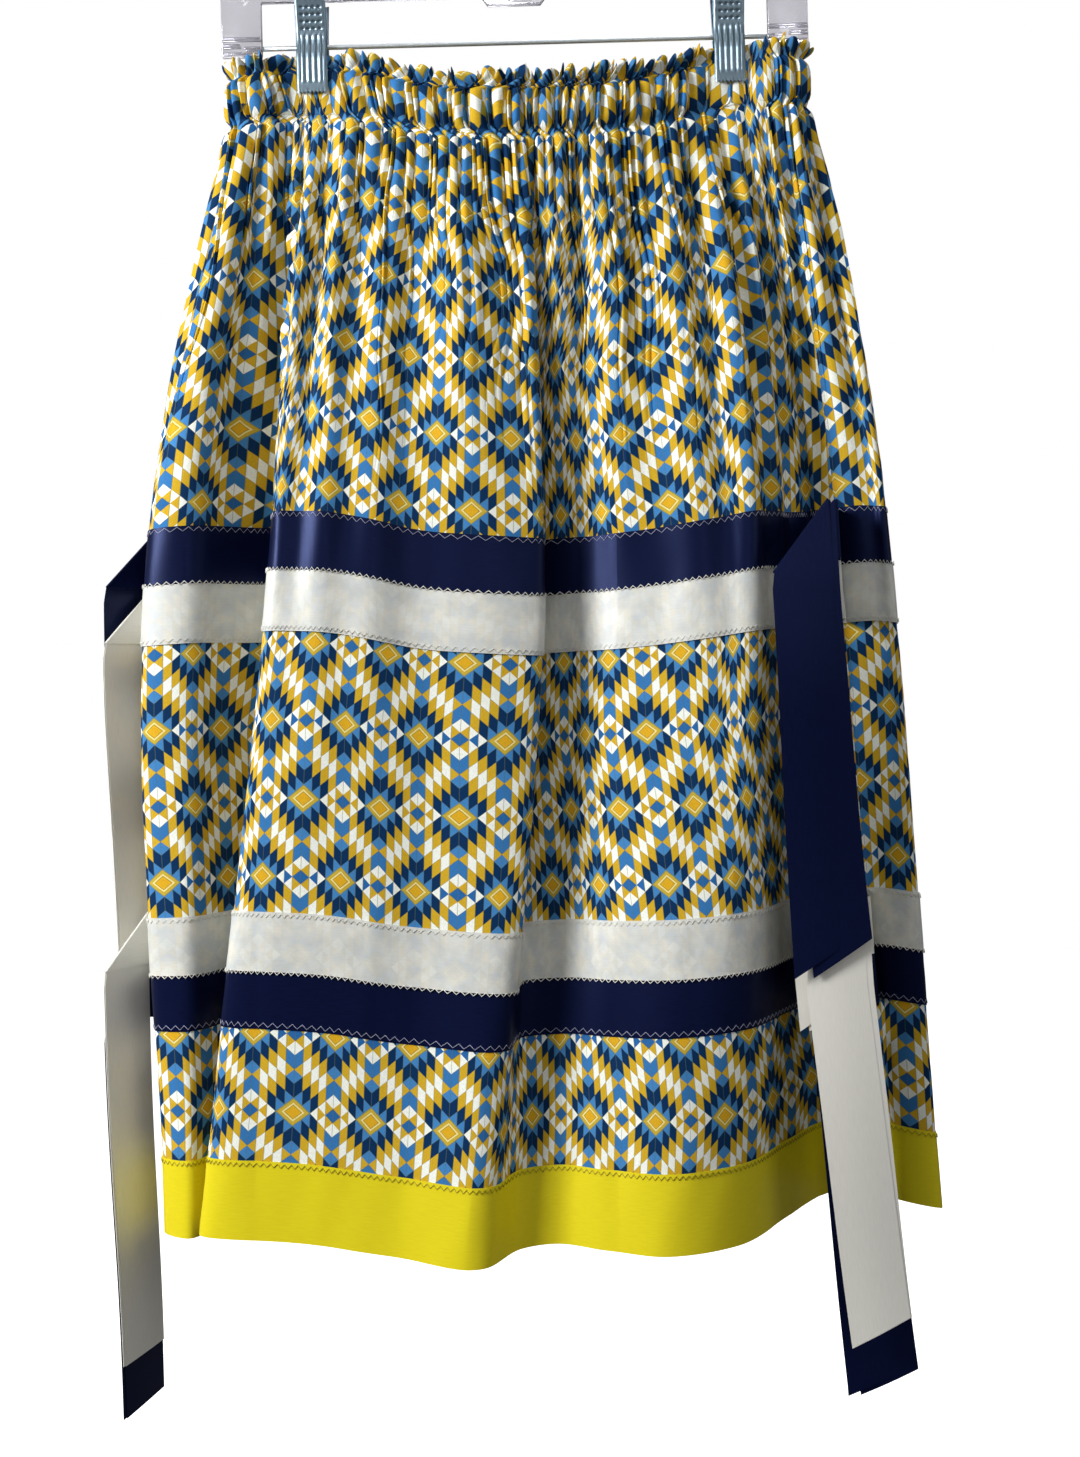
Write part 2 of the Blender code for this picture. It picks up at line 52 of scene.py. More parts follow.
def table(columns, *rows):
    """Rows of values under named columns."""
    row = namedtuple("Row", columns)
    return [row(*values) for values in rows]


# Distances down the cloth from the top of the frill
CUT_LENGTH = 737.0
FRILL_SEAM = 8.0
CASING_SEAM = 38.0
BAND_LEVEL = 300.0
UPPER_TOP = 295.5
UPPER_JOIN = 332.5
UPPER_BOTTOM = 369.0
LOWER_TOP = 538.5
LOWER_JOIN = 574.0
LOWER_BOTTOM = 609.5
HEM_BAND_TOP = 689.0

# How much of the folds' average slope they keep at the upper bands
BAND_SLOPE = 0.75

# Cloth thicknesses, a little over the real ones so that an edge shows, and the gap between layers
COTTON_WALL = 0.5
RIBBON_WALL = 0.35
LAYER_GAP = 0.12

# How far a panel reaches up under its casing and ends above the hem band's edge, and how far inside
# its two lines a ribbon's edges lie and how far apart its rows are
PANEL_TUCK, PANEL_INSET = 2.5, 0.6
RIBBON_INSET, RIBBON_ROWS = 0.1, 5

# The way the cloth runs round the skirt: one row for each main fold, going from the left side seam
# across the front to the right side seam and back across the back.
# x and y in plan at the waist, at the upper bands and at the hem, then the height of its two ends.
FOLDS = table(
    "name waist_x waist_y band_x band_y hem_x hem_y top_z hem_z",
    ("left_seam", -182, 6, -236, 8, -238, 8, -131, -874),
    ("left_end", -184, -3, -240, -22, -241, -18, -131, -875),
    ("left_face", -170, -9, -214, -24, -225, -32, -129, -875),
    ("left_valley", -152, -7, -166, 12, -196, 24, -127, -873),
    ("left_valley_return", -144, -6, -149, 8, -176, 18, -126, -871),
    ("front_left_lip", -134, -5, -159, -44, -213, -48, -126, -868),
    ("front_left", -98, -9, -112, -52, -143, -60, -129, -872),
    ("front_left_middle", -50, -18, -60, -44, -92, -66, -143, -879),
    ("centre_lip", -2, -27, 9, -36, -36, -76, -148, -884),
    ("centre_under", 7, -24, -1, -8, -16, -54, -148, -880),
    ("centre_right", 22, -26, 28, -14, 6, -52, -148, -878),
    ("front_right_middle", 50, -23, 58, -26, 36, -64, -146, -879),
    ("front_right", 84, -14, 98, -36, 70, -76, -139, -880),
    ("right_ridge", 120, -6, 140, -36, 116, -62, -129, -879),
    ("recess_slope", 144, -6, 166, -4, 154, -14, -126, -876),
    ("recess", 155, -9, 181, 6, 190, 26, -126, -873),
    ("recess_return", 162, -9, 190, 3, 219, 26, -126, -872),
    ("right_seam", 170, -9, 198, -2, 225, 9, -127, -870),
    ("right_lip", 178, -8, 213, -10, 225, -6, -127, -869),
    ("right_end", 187, -1, 227, -12, 251, -16, -127, -873),
    ("back_right_turn", 181, 8, 223, 20, 246, 14, -127, -875),
    ("back_right_side", 166, 10, 197, 42, 226, 52, -127, -877),
    ("back_fold_1", 146, 8, 170, 56, 182, 72, -127, -879),
    ("back_valley_1", 128, 5, 146, 42, 152, 54, -128, -877),
    ("back_fold_2", 108, 9, 122, 62, 126, 90, -131, -880),
    ("back_valley_2", 84, 14, 100, 44, 98, 52, -138, -878),
    ("back_face_2", 60, 19, 66, 46, 62, 56, -144, -879),
    ("back_fold_3", 36, 23, 34, 64, 36, 94, -147, -883),
    ("back_fold_4", 4, 26, -2, 66, -12, 98, -148, -884),
    ("back_valley_4", -24, 24, -30, 44, -38, 62, -147, -881),
    ("back_face_5", -52, 18, -64, 46, -74, 58, -142, -879),
    ("back_fold_5", -82, 10, -92, 64, -102, 92, -133, -880),
    ("back_fold_6", -112, 6, -128, 60, -142, 86, -127, -878),
    ("back_valley_6", -134, 5, -156, 40, -164, 54, -126, -875),
    ("back_left_face", -154, 9, -184, 46, -200, 64, -128, -877),
    ("back_left_side", -172, 10, -218, 32, -228, 38, -130, -875),
)

# Gathers in each panel; the mesh's columns across one, as shares of its width; how round its crown
# is; and in gathers: how unevenly the creases are spaced, how far they lean, the narrowest gather
GATHERS = 60
ACROSS_GATHER = np.array([0.0, 0.09, 0.25, 0.42, 0.58, 0.75, 0.91])
CROWN_ROUND = 0.8
UNEVEN_SPACING = 0.6
GATHER_LEAN = 0.5
NARROWEST_GATHER = 0.36

# How far the creases jump to the side where they cross the casing's seams, in gathers, and how far
# they lean inwards down the casing near the left seam: by how much, and how many gathers from it
SEAM_JUMP = 0.45
LEFT_LEAN, LEFT_LEAN_MIDDLE = 2.0, 8.0

# How far the frill's loops flop to the side, in gathers, how much they rise and fall, and how the
# frill waves in and out: how far, and the lengths of its two waves in gathers
FRILL_FLOP = 0.6
FRILL_RAGGED = 2.2
FRILL_LOOP = 1.4
FRILL_WAVE = 1.5
SHORT_WAVE, LONG_WAVE = 2.3, 3.7

# Size of the gathers down the casing, pinched at its two seams, and how far they run down the panel:
# most fade early, and all of them above the ribbons
GATHER_SIZE = {
    "down": (0, 4, 8, 13, 22, 32, 38, 47, 190, 285),
    "size": (3.0, 2.8, 0.9, 2.4, 2.9, 2.4, 1.1, 3.0, 3.0, 0.0),
}
SHORT_GATHER, LONG_GATHER = 45.0, 190.0

# How the two lines of stitching pull the cloth in, and how the frill and the casing swell beside them
SEAM_PINCH = {
    "down": (0, 3, 6, 8, 10.5, 14, 33, 38, 43, 60),
    "out": (2.0, 1.2, -1.2, -2.6, -1.0, 0.6, 0.8, -2.0, 0.8, 0.0),
}

# The back's frill stands higher than the front's beside the clips, so that its reverse shows: by how
# much, its middle and half its width across, and how far down the rise is gone
BACK_RAISE, RAISE_MIDDLE, RAISE_HALF, RAISE_END = 8.5, 134.0, 33.0, 60.0

# How much of the cloth's width the gathers hide, down the cloth
HIDDEN = {"down": (0, 38, 60, 92, 130), "share": (0.45, 0.45, 0.4, 0.25, 0.0)}

# Half the wall of the casing, which is thickest over the elastic, and the rows of its mesh
CASING_WALL = {
    "down": (0, 0.7, 2, 4, 6.5, 8, 10, 14, 22, 30, 35, 37.6),
    "wall": (0.0, 0.75, 1.0, 1.1, 0.8, 0.4, 0.8, 1.3, 1.5, 1.3, 0.9, 0.45),
}
CASING_ROWS = (37.6, 36, 34, 31, 28, 25, 22, 19, 16, 13, 11, 9.4, 8, 6.6, 5, 3.5, 2, 0.9, 0.3, 0)

# How far apart a panel's rows are, closer together under the gathers
ROW_STEP = {"down": (38, 130, 220), "step": (3.5, 5.0, 8.0)}

# Softer folds that the CAD solids have too
SOFT_FOLDS = 17
FOLD_FADE = {
    "down": (38, 85, 120, 170, 230, 300, 369, 455, 540),
    "size": (0.0, 3.2, 4.8, 4.4, 3.0, 1.8, 1.0, 0.4, 0.0),
}

# Small wrinkles all over the cloth: their height, how it changes down the cloth, and two patterns of
# waves: their length round the skirt, how far they wander and over what length down the cloth, their
# own length down it, how far they slant, and their share of the height
WRINKLE_HEIGHT = 0.28
WRINKLE_FADE = {"down": (38, 90, 420, 737), "size": (0.2, 1.6, 1.0, 0.8)}
WRINKLES = table(
    "around wander over start down slant share",
    (8.3, 1.4, 41, 0, 57, 90, 1.0),
    (4.9, 2.0, 29, 1, 33, 61, 0.6),
)

# Single creases and ridges, from their upper to their lower end: place round the skirt and down it,
# then how wide and how far out or in they go
CREASES = table(
    "top_around top_down low_around low_down width depth",
    (71, 50, 86, 150, 5, -3.0),
    (210, 60, 226, 175, 7, 3.0),
    (199, 70, 206, 290, 8, -2.5),
    (263, 60, 261, 215, 7, 2.2),
    (300, 42, 294, 115, 6, -3.0),
    (344, 55, 343, 190, 7, 2.6),
    (425, 90, 398, 170, 7, 2.0),
    (456, 45, 450, 190, 6, -4.0),
    (446, 160, 442, 300, 7, -2.5),
    (482, 60, 478, 200, 6, 1.8),
    (550, 180, 538, 560, 9, 1.6),
    (582, 42, 560, 125, 7, -3.0),
    (676, 45, 630, 140, 8, -3.5),
    (686, 90, 714, 300, 7, -3.0),
    (120, 430, 128, 700, 9, -1.6),
    (318, 400, 300, 640, 10, 1.0),
    (505, 390, 520, 600, 9, -1.0),
    (236, 560, 250, 737, 9, -1.2),
    (370, 600, 372, 737, 8, 1.2),
    (470, 590, 480, 737, 9, -1.2),
    (780, 45, 790, 210, 7, -3.0),
    (838, 55, 846, 260, 8, 2.4),
    (905, 42, 896, 170, 6, -3.2),
    (968, 60, 975, 330, 8, 2.2),
    (1030, 45, 1024, 200, 7, -3.4),
    (1092, 50, 1100, 280, 9, 2.6),
    (1150, 42, 1141, 150, 6, -3.0),
    (1212, 70, 1218, 350, 9, 2.0),
    (1270, 45, 1262, 190, 7, -3.2),
    (1335, 55, 1345, 240, 8, 2.4),
    (1398, 45, 1392, 160, 6, -2.8),
    (930, 420, 915, 690, 10, -1.4),
    (1180, 450, 1196, 720, 10, 1.3),
)

# Where the hanger's parts are
BAR_TOP, BAR_BOTTOM, BAR_CORNER = -76.0, -89.5, 5.0
LEG_BOTTOM = -124.0
LEG_INNER, LEG_OUTER = 163.0, 189.0
BOSS_HALF, BOSS_TOP, BOSS_BOTTOM = 21.0, -66.0, -95.0
BOSS_SLOPE = 4.0
FRAME_WALL = 5.0
ROD_Z, ROD_RADIUS = -119.0, 1.5
HOOK_RADIUS, HOOK_WIRE = 21.0, 1.9
NECK_BEND, NECK_Z = 8.0, -56.0
CLIPS = {"left": -130.6, "right": 137.5}
CLIP_WIDTH = 19.4

# How the clips hold the cloth: how far it stands from the middle there, half the width held, how far
# beside them the hold fades, where it ends down the cloth and over what length
CLIP_PINCH = 3.2
CLIP_HOLD, HOLD_FADE = 12.75, 14.0
HOLD_END, HOLD_FADE_DOWN = 80.0, 45.0

# How much the clips flatten the gathers, how far beside them that fades, and how far down it goes
FLATTENED, FLATTENED_FADE, FLATTENED_END = 0.8, 8.0, 90.0

# A pressed plate of a clip: sheet, rows and columns of its mesh, how far its bends are softened
PLATE_WALL = 0.7
PLATE_ROWS, PLATE_COLUMNS = 130, 61
BEND_SOFT = 3.0

# Four flutes down each plate, which fade in and out at their ends, and above them four rows of four
# pressed dimples; then the rolled edge and the jaw's teeth
FLUTE_PITCH, FLUTE_DEPTH = 3.7, 0.42
FLUTES_START, FLUTES_FADE_IN = 24.8, 2.5
FLUTES_END, FLUTES_FADE_OUT = 5.0, 3.0
DIMPLES = 4
FIRST_DIMPLE, DIMPLE_PITCH, DIMPLE_DEPTH = 9.1, 4.3, 0.9
DIMPLE_ALONG, DIMPLE_ACROSS = 0.9, 1.4
EDGE_ROLL, EDGE_WIDTH, EDGE_FADE = 1.0, 1.2, 1.1
TOOTH_PITCH, TOOTH_DEPTH, TOOTH_LENGTH = 2.4, 0.7, 1.5

# The coil spring of a clip: turns, half its length, its radius, its wire's radius
COIL_TURNS, COIL_HALF, COIL_RADIUS, COIL_WIRE = 7, 7.0, 3.1, 0.85

# Ribs on the hanger's legs: lower edge, then where one starts and ends from the leg's inner side
RIBS = ((-123.2, 0, 26), (-119.6, 0, 12), (-117.8, 13, 26), (-113.4, 0, 26))
RIB_HEIGHT, RIB_INSET, RIB_SUNK, RIB_PROUD = 1.4, 0.8, 0.3, 0.7

# The front plate of a clip in section, from its finger end down to its jaw: y, z
CLIP_SECTION = [
    (-11.5, -88),
    (-8.4, -100),
    (-5.3, -111),
    (-5.3, -119),
    (-7.4, -125),
    (-7.5, -146),
    (-7.1, -150),
]

# The ribbons and the hem band: name, top and bottom down the cloth, how far it lies over the navy one
# beside it, finish
BANDS = table(
    "name top bottom over finish",
    ("upper_navy_ribbon", UPPER_TOP, UPPER_JOIN, 0.0, "navy_satin"),
    ("upper_cream_ribbon", UPPER_JOIN - 0.8, UPPER_BOTTOM, 0.45, "cream_satin"),
    ("lower_cream_ribbon", LOWER_TOP, LOWER_JOIN + 0.8, 0.45, "cream_satin"),
    ("lower_navy_ribbon", LOWER_JOIN, LOWER_BOTTOM, 0.0, "navy_satin"),
    ("hem_band", HEM_BAND_TOP, CUT_LENGTH, 0.0, "yellow_satin"),
)

# Lines of stitching: how far down, width of the zigzag, its pitch, the thread's radius and colour
STITCHING = table(
    "name down width pitch radius thread",
    ("upper_navy_zigzag", UPPER_TOP + 2.2, 2.7, 5.6, 0.23, "grey_thread"),
    ("upper_join_stitches", UPPER_JOIN - 1.3, 2.2, 4.1, 0.36, "cream_thread"),
    ("upper_cream_stitches", UPPER_BOTTOM - 2.2, 2.4, 3.7, 0.24, "cream_thread"),
    ("lower_cream_stitches", LOWER_TOP + 2.2, 2.4, 3.7, 0.24, "cream_thread"),
    ("lower_join_stitches", LOWER_JOIN + 1.3, 2.2, 4.1, 0.36, "cream_thread"),
    ("lower_navy_zigzag", LOWER_BOTTOM - 2.6, 2.7, 5.6, 0.23, "grey_thread"),
    ("hem_stitches", HEM_BAND_TOP + 2.4, 2.4, 3.7, 0.28, "yellow_thread"),
)

# Tails: width, the step from layer to layer, how far past the fold a tail turns, how far the outer
# layer turns beyond that, half the way between two layers in the seam, how far the fold stands proud
TAIL_WIDTH = 38.0
LAYER_STEP = 0.45
ELBOW_REACH = 1.0
OUTER_REACH = 0.8
ROOT_APART = 0.45
FOLD_BULGE = 0.5
FOLD_TO_HANG = 8.0

# The fold's left end is this much lower than the band, and its corner is rounded: how far inwards,
# and over what height
FOLD_DROP = {"right": 11.0, "left": 0.0}
CORNER_INSET, CORNER_REACH = 2.4, 4.0

# Lines across a tail: in each of the three stretches before the fold, round it, and down to the end
TURN_LINES, FOLD_LINES, HANG_LINES = 8, 7, 50
TAIL_COLUMNS = 9

# All tails sway and cup alike, so that a stack stays clear of itself: from this height down, over
# this fade, how far and in what waves they sway, and how deep they cup
SWAY_TOP, SWAY_FADE, SWAY, SWAY_WAVE, CUP = -430.0, 120.0, 3.0, 46.0, 1.0

# The solids' walls and gaps, which place the roots of the tails
SOLID_PANEL_WALL = 1.2
SOLID_RIBBON_WALL = 1.0
SEAM_GAP = 0.3

# Where the stack of tails hangs at each side: height, its left edge in plan, how far it is turned
Stack = namedtuple("Stack", "z x y turned")
STACKS = {
    "right": [
        Stack(-420, 147, -55, 4),
        Stack(-719, 156, -56, 4),
        Stack(-980, 172, -58, 4),
    ],
    "left": [
        Stack(-420, -267, -24, 55),
        Stack(-700, -273, -28, 58),
        Stack(-1000, -266, -28, 66),
    ],
}
LAYER_SHIFT = {"right": 4.0, "left": 0.6}
# On the right a tail hangs in front of its root, on the left behind it, so the turns differ
ROOT_IN_FRONT = {"right": False, "left": True}
OUTER_LAYER = 1

# Each pair of tails: place and depth in the stack, the lower corner of its end, how much higher the
# other corner is, how far its two layers drift apart, and how far the pair swings across
TAILS = table(
    "side band across depth end_z cut apart swing",
    ("right", "upper_navy", 0, 0, -719, 23, 8, 0),
    ("right", "upper_cream", 3, 12.6, -753, 24, 2, 0),
    ("right", "lower_cream", 8, 4.6, -948, 17, -3, 9),
    ("right", "lower_navy", 13, 23, -984, 14, 4, 3),
    ("left", "upper_navy", 15, 15.5, -712, 18, 1, 15),
    ("left", "upper_cream", 9, 9, -748, 16, 1, 17),
    ("left", "lower_cream", 0, 0, -957, 4, 1, 0),
    ("left", "lower_navy", 2, 3, -991, 6, 2, 0),
)

# The print: one star to each REPEAT across, and a row of stars each half of TALL, the rows by turns
# half a repeat along. A star's place is its number along the front; the table says where round the
# skirt the stars lie at four levels, because the folds take up cloth unevenly.
REPEAT = 50.0
REPEAT_TALL = 94.4
STAR_ROW = 422.5
STAR_LEVELS = (92, 187, 424, 658)
STARS = {
    -5: (-20, -18, -14, -12),
    -4: (33, 34, 36, 42),
    -3: (80, 74, 71, 94),
    -2: (165, 200, 125, 144),
    -1: (225, 228, 180, 194),
    0: (268, 250, 231, 240),
    1: (304, 295, 284, 288),
    2: (334, 334, 327, 334),
    3: (362, 364, 364, 376),
    4: (420, 412, 404, 408),
    5: (444, 426, 426, 438),
    6: (460, 438, 442, 478),
    7: (482, 470, 485, 520),
    8: (516, 516, 526, 565),
    9: (548, 548, 548, 620),
    10: (640, 640, 600, 680),
    11: (712, 735, 700, 730),
    12: (760, 785, 748, 780),
}
BACK_START, BACK_STAR, BACK_REPEAT = 719.0, 10.5, 48.0

# The stars' spacing is smoothed over these shifts round the skirt
STAR_BLUR = (-12, -6, 0, 6, 12)

# Colours of the print's woven-in shapes, a letter for each. The chart has one line for each column
# of a quarter star, from its middle outwards, and in it the half diamonds from the bottom up.
INKS = {
    "L": "#4182BE",
    "M": "#3576B4",
    "B": "#2766A6",
    "N": "#032E58",
    "G": "#D0A828",
    "W": "#F2F5EC",
}
CHART = [
    "LLLLLLLLNNLGMMWGBB",
    "LLLLLLNNGGWWGGWGBB",
    "WWWWNNGGWWGGNNWWWW",
    "BBBWGGWWGGNNLLLLLL",
    "BBGWMMGLNNLLLLLLLL",
]
CHART_LOWEST = 3
# The square rings round a star's middle: where each starts, as a share of the way out, and its ink
STAR_RINGS = [
    (0.0, "#DDAA22"),
    (0.46, "#A58A2A"),
    (0.52, "#EBDB95"),
    (0.66, "#C6A93A"),
    (0.93, "#8F8A3C"),
]
OUTLINE_INK = "#5E6A32"
BARE_COTTON = "#8C877C"
GHOST_INK = "#8FA0AE"

# The print worked out from its map, one sum to a row: its name, what is done, and to what.
# star and tall are the place in the print; across and up count columns and half diamonds from the
# middle of the nearest star; slant numbers the slanting lines; ring is the way out from that middle.
PRINT_SUMS = [
    ("columns", "MULTIPLY", "star", 10.0),
    ("across", "PINGPONG", "columns", 5.0),
    ("halves", "MULTIPLY", "tall", 22.0),
    ("up", "PINGPONG", "halves", 11.0),
    ("up_less_across", "SUBTRACT", "up", "across"),
    ("slant", "MULTIPLY", "up_less_across", 0.5),
    ("spread", "ADD", "up", "across"),
    ("rise", "MULTIPLY", "spread", 0.5),
    ("step", "FLOOR", "slant", 0.0),
    ("column", "FLOOR", "across", 0.0),
    ("corner", "ADD", "column", "step"),
    ("edge", "ADD", "corner", 1.0),
    ("half", "GREATER_THAN", "rise", "edge"),
    ("raised", "ADD", "step", float(CHART_LOWEST)),
    ("pairs", "MULTIPLY", "raised", 2.0),
    ("row", "ADD", "pairs", "half"),
    ("row_middle", "ADD", "row", 0.5),
    ("in_chart", "DIVIDE", "row_middle", float(len(CHART[0]))),
    *((f"past_{k}", "GREATER_THAN", "across", float(k)) for k in range(1, len(CHART))),
    ("to_upright", "PINGPONG", "across", 0.5),
    ("upright", "LESS_THAN", "to_upright", 0.05),
    ("to_slanting", "PINGPONG", "slant", 0.5),
    ("slanting", "LESS_THAN", "to_slanting", 0.025),
    ("either", "MAXIMUM", "upright", "slanting"),
    ("line", "MULTIPLY", "either", 0.45),
    ("far_spread", "SUBTRACT", 16.0, "spread"),
    ("ring", "MINIMUM", "spread", "far_spread"),
    ("ring_share", "MULTIPLY", "ring", 0.5),
    ("in_ring", "LESS_THAN", "ring", 2.0),
]

# The studio, in metres: the floor's height and its own glow, how much light the surroundings give
# next to how white they look, and the lamps
FLOOR_Z, FLOOR_GLOW = -1.22, 0.8
ROOM_LIGHT = 0.12
LAMPS = table(
    "name place aim size power",
    ("key", (-1.45, -0.9, 0.1), (0.0, 0.0, -0.45), 0.6, 42.0),
    ("top", (0.2, -0.7, 1.3), (0.0, 0.0, -0.3), 0.8, 5.0),
    ("fill", (1.7, -1.0, 0.0), (0.0, 0.0, -0.5), 1.0, 4.0),
    # These two are mirrored in the satin and in the left clip
    ("right_window", (0.55, -2.2, 0.0), (0.15, 0.0, -0.45), 0.5, 2.0),
    ("left_window", (-0.45, -2.2, 0.85), (-0.13, 0.0, -0.12), 0.4, 3.2),
    ("rear", (0.4, 1.3, 1.5), (0.0, 0.0, -0.5), 1.0, 40.0),
)
CAMERA_PLACE = (0.0045, -1.058, -0.5617)
CAMERA_ROLL = 1.5
CAMERA_LENS = 40.52
SENSOR = 36.0


def closed_slopes(knots, values, around):
    """Slopes of a smooth closed curve that passes through the values at the knots."""
    before = (knots - np.roll(knots, 1)) % around
    after = (np.roll(knots, -1) - knots) % around
    rise_before = (values - np.roll(values, 1, axis=0)) / before[:, None]
    rise_after = (np.roll(values, -1, axis=0) - values) / after[:, None]
    weighted = rise_before * after[:, None] + rise_after * before[:, None]
    return weighted / (before + after)[:, None]


WAIST, BAND, HEM, HEIGHTS = (
    np.array([fold[k : k + 2] for fold in FOLDS], float) for k in (1, 3, 5, 7)
)
HEM_STEPS = np.linalg.norm(np.roll(HEM, -1, axis=0) - HEM, axis=1)
AROUND = HEM_STEPS.sum()
KNOTS = np.concatenate([[0.0], np.cumsum(HEM_STEPS)[:-1]])
RIGHT_SEAM = KNOTS[[fold.name for fold in FOLDS].index("right_seam")]
SEAMS = {"left": 0.0, "right": RIGHT_SEAM}
SIDES = {"front": (0.0, RIGHT_SEAM), "back": (RIGHT_SEAM, AROUND)}


def smooth_step(t, length, near, far, near_slope, far_slope):
    """A cubic between two values with a slope at each end."""
    return (
        (2 * t**3 - 3 * t**2 + 1) * near
        + (t**3 - 2 * t**2 + t) * length * near_slope
        + (3 * t**2 - 2 * t**3) * far
        + (t**3 - t**2) * length * far_slope
    )


def fold_columns(down):
    """x, y, top z and hem z of every fold at this distance down the cloth."""
    level = max(down, CASING_SEAM)
    upper, lower = BAND_LEVEL - CASING_SEAM, CUT_LENGTH - BAND_LEVEL
    slope_above, slope_below = (BAND - WAIST) / upper, (HEM - BAND) / lower
    at_band = BAND_SLOPE * (slope_above * lower + slope_below * upper) / (upper + lower)
    if level < BAND_LEVEL:
        t = (level - CASING_SEAM) / upper
        plan = smooth_step(t, upper, WAIST, BAND, slope_above, at_band)
    else:
        t = (level - BAND_LEVEL) / lower
        plan = smooth_step(t, lower, BAND, HEM, at_band, slope_below)
    return np.hstack([plan, HEIGHTS])


def along_folds(around, down):
    """The smooth closed curve through the folds: its values and its slopes at these places."""
    values = fold_columns(down)
    slopes = closed_slopes(KNOTS, values, AROUND)
    place = np.mod(around, AROUND)
    row = np.searchsorted(KNOTS, place, side="right") - 1
    following = (row + 1) % len(KNOTS)
    step = (KNOTS[following] - KNOTS[row]) % AROUND
    t = ((place - KNOTS[row]) / step)[:, None]
    step = step[:, None]
    point = smooth_step(t, step, values[row], values[following], slopes[row], slopes[following])
    slope = (
        (6 * t**2 - 6 * t) * values[row] / step
        + (3 * t**2 - 4 * t + 1) * slopes[row]
        + (6 * t - 6 * t**2) * values[following] / step
        + (3 * t**2 - 2 * t) * slopes[following]
    )
    return point, slope


def value_at(table, down):
    """A table's value at this distance down the cloth."""
    return np.interp(down, *table.values())


def near_clip(x, reach, fade):
    """1 within reach of a clip's middle, falling to 0 over the fade."""
    distance = np.min([abs(x - middle) for middle in CLIPS.values()], axis=0)
    return np.clip((reach + fade - distance) / fade, 0.0, 1.0)


def soft_relief(around, down):
    """How far the softer folds, the single creases and the wrinkles move the cloth outwards."""
    place = np.mod(around, AROUND)
    in_front = place <= RIGHT_SEAM
    share = np.where(in_front, place / RIGHT_SEAM, (place - RIGHT_SEAM) / (AROUND - RIGHT_SEAM))
    turn = 2 * math.pi * share
    wander = SOFT_FOLDS * turn + 0.9 * np.sin(3 * turn) + 0.5 * np.sin(5 * turn)
    soft = np.sin(wander) * (1 + 0.3 * np.sin(4 * turn + 1))
    relief = soft * value_at(FOLD_FADE, down)
    for crease in CREASES:
        t = (down - crease.top_down) / (crease.low_down - crease.top_down)
        if -0.2 < t < 1.2:
            middle = crease.top_around + t * (crease.low_around - crease.top_around)
            away = np.abs(place - middle) / crease.width
            fade = math.sin(math.pi * (t + 0.2) / 1.4)
            relief = relief + crease.depth * fade * np.exp(-(away**1.4))
    wrinkles = 0.0
    for waves in WRINKLES:
        wander = waves.wander * np.sin(down / waves.over + waves.start)
        across = np.sin(place / waves.around + wander)
        wrinkles = wrinkles + waves.share * (across * np.sin(down / waves.down + place / waves.slant))
    return relief + WRINKLE_HEIGHT * wrinkles * value_at(WRINKLE_FADE, down)


def cloth_points(around, down, outward):
    """Points of the cloth in millimetres, moved outwards from its middle surface."""
    around = np.atleast_1d(np.asarray(around, float))
    point, slope = along_folds(around, down)
    length = np.hypot(slope[:, 0], slope[:, 1])
    normal = np.stack([slope[:, 1], -slope[:, 0]], axis=1) / length[:, None]
    x, y = point[:, 0], point[:, 1]
    held = near_clip(x, CLIP_HOLD, HOLD_FADE) * np.clip((HOLD_END - down) / HOLD_FADE_DOWN, 0.0, 1.0)
    y = y * (1 - held) + np.where(y < 0, -CLIP_PINCH, CLIP_PINCH) * held
    share = down / CUT_LENGTH
    z = point[:, 2] * (1 - share) + point[:, 3] * share
    return np.stack([x + normal[:, 0] * outward, y + normal[:, 1] * outward, z], axis=1)


Gathers = namedtuple("Gathers", "edges lean flop jump tuck strength reach loop")


def uneven_gathers(seed):
    """For one panel: where its creases are, how they lean, flop and jump, how much cloth each gather
    hides, how strong it is, how far it runs down, and how high its loop of the frill is."""
    rng = np.random.default_rng(seed)
    edges = np.arange(GATHERS + 1)
    return Gathers(
        edges + UNEVEN_SPACING * rng.uniform(-1, 1, GATHERS + 1),
        GATHER_LEAN * rng.uniform(-1, 1, GATHERS + 1),
        FRILL_FLOP * rng.uniform(-1, 1, GATHERS + 1),
        SEAM_JUMP * rng.uniform(-1, 1, (2, GATHERS + 1)),
        rng.uniform(0.55, 1.35, GATHERS),
        rng.uniform(0.6, 1.35, GATHERS),
        SHORT_GATHER + (LONG_GATHER - SHORT_GATHER) * rng.uniform(0, 1, GATHERS) ** 2,
        rng.uniform(-1, 1, GATHERS),
    )


def waist_steps(side):
    """Places along one panel, and how many gathers lie before each, even at the waist."""
    places = np.linspace(*SIDES[side], 400)
    plan = along_folds(places, CASING_SEAM)[0][:, :2]
    steps = np.linalg.norm(np.diff(plan, axis=0), axis=1)
    along = np.concatenate([[0.0], np.cumsum(steps)])
    return places, along / along[-1] * GATHERS


UNEVEN = {"front": uneven_gathers(4), "back": uneven_gathers(9)}
WAIST_STEPS = {side: waist_steps(side) for side in SIDES}


def gather_edges(side, down):
    """The creases between the gathers of one row, in gathers from the panel's start."""
    gathers = UNEVEN[side]
    above = max(0.0, 1 - down / FRILL_SEAM)
    edges = gathers.edges + gathers.lean * math.sin(down / 30.0) + gathers.flop * above
    for seam, jump in zip((FRILL_SEAM, CASING_SEAM), gathers.jump):
        edges += jump * np.clip((down - seam) / 3.0, -1, 1)
    if side == "front":
        near = edges / LEFT_LEAN_MIDDLE
        edges += LEFT_LEAN * np.clip((down - 23) / 30, -0.5, 0.5) * near * np.exp(1 - near)
    return edges


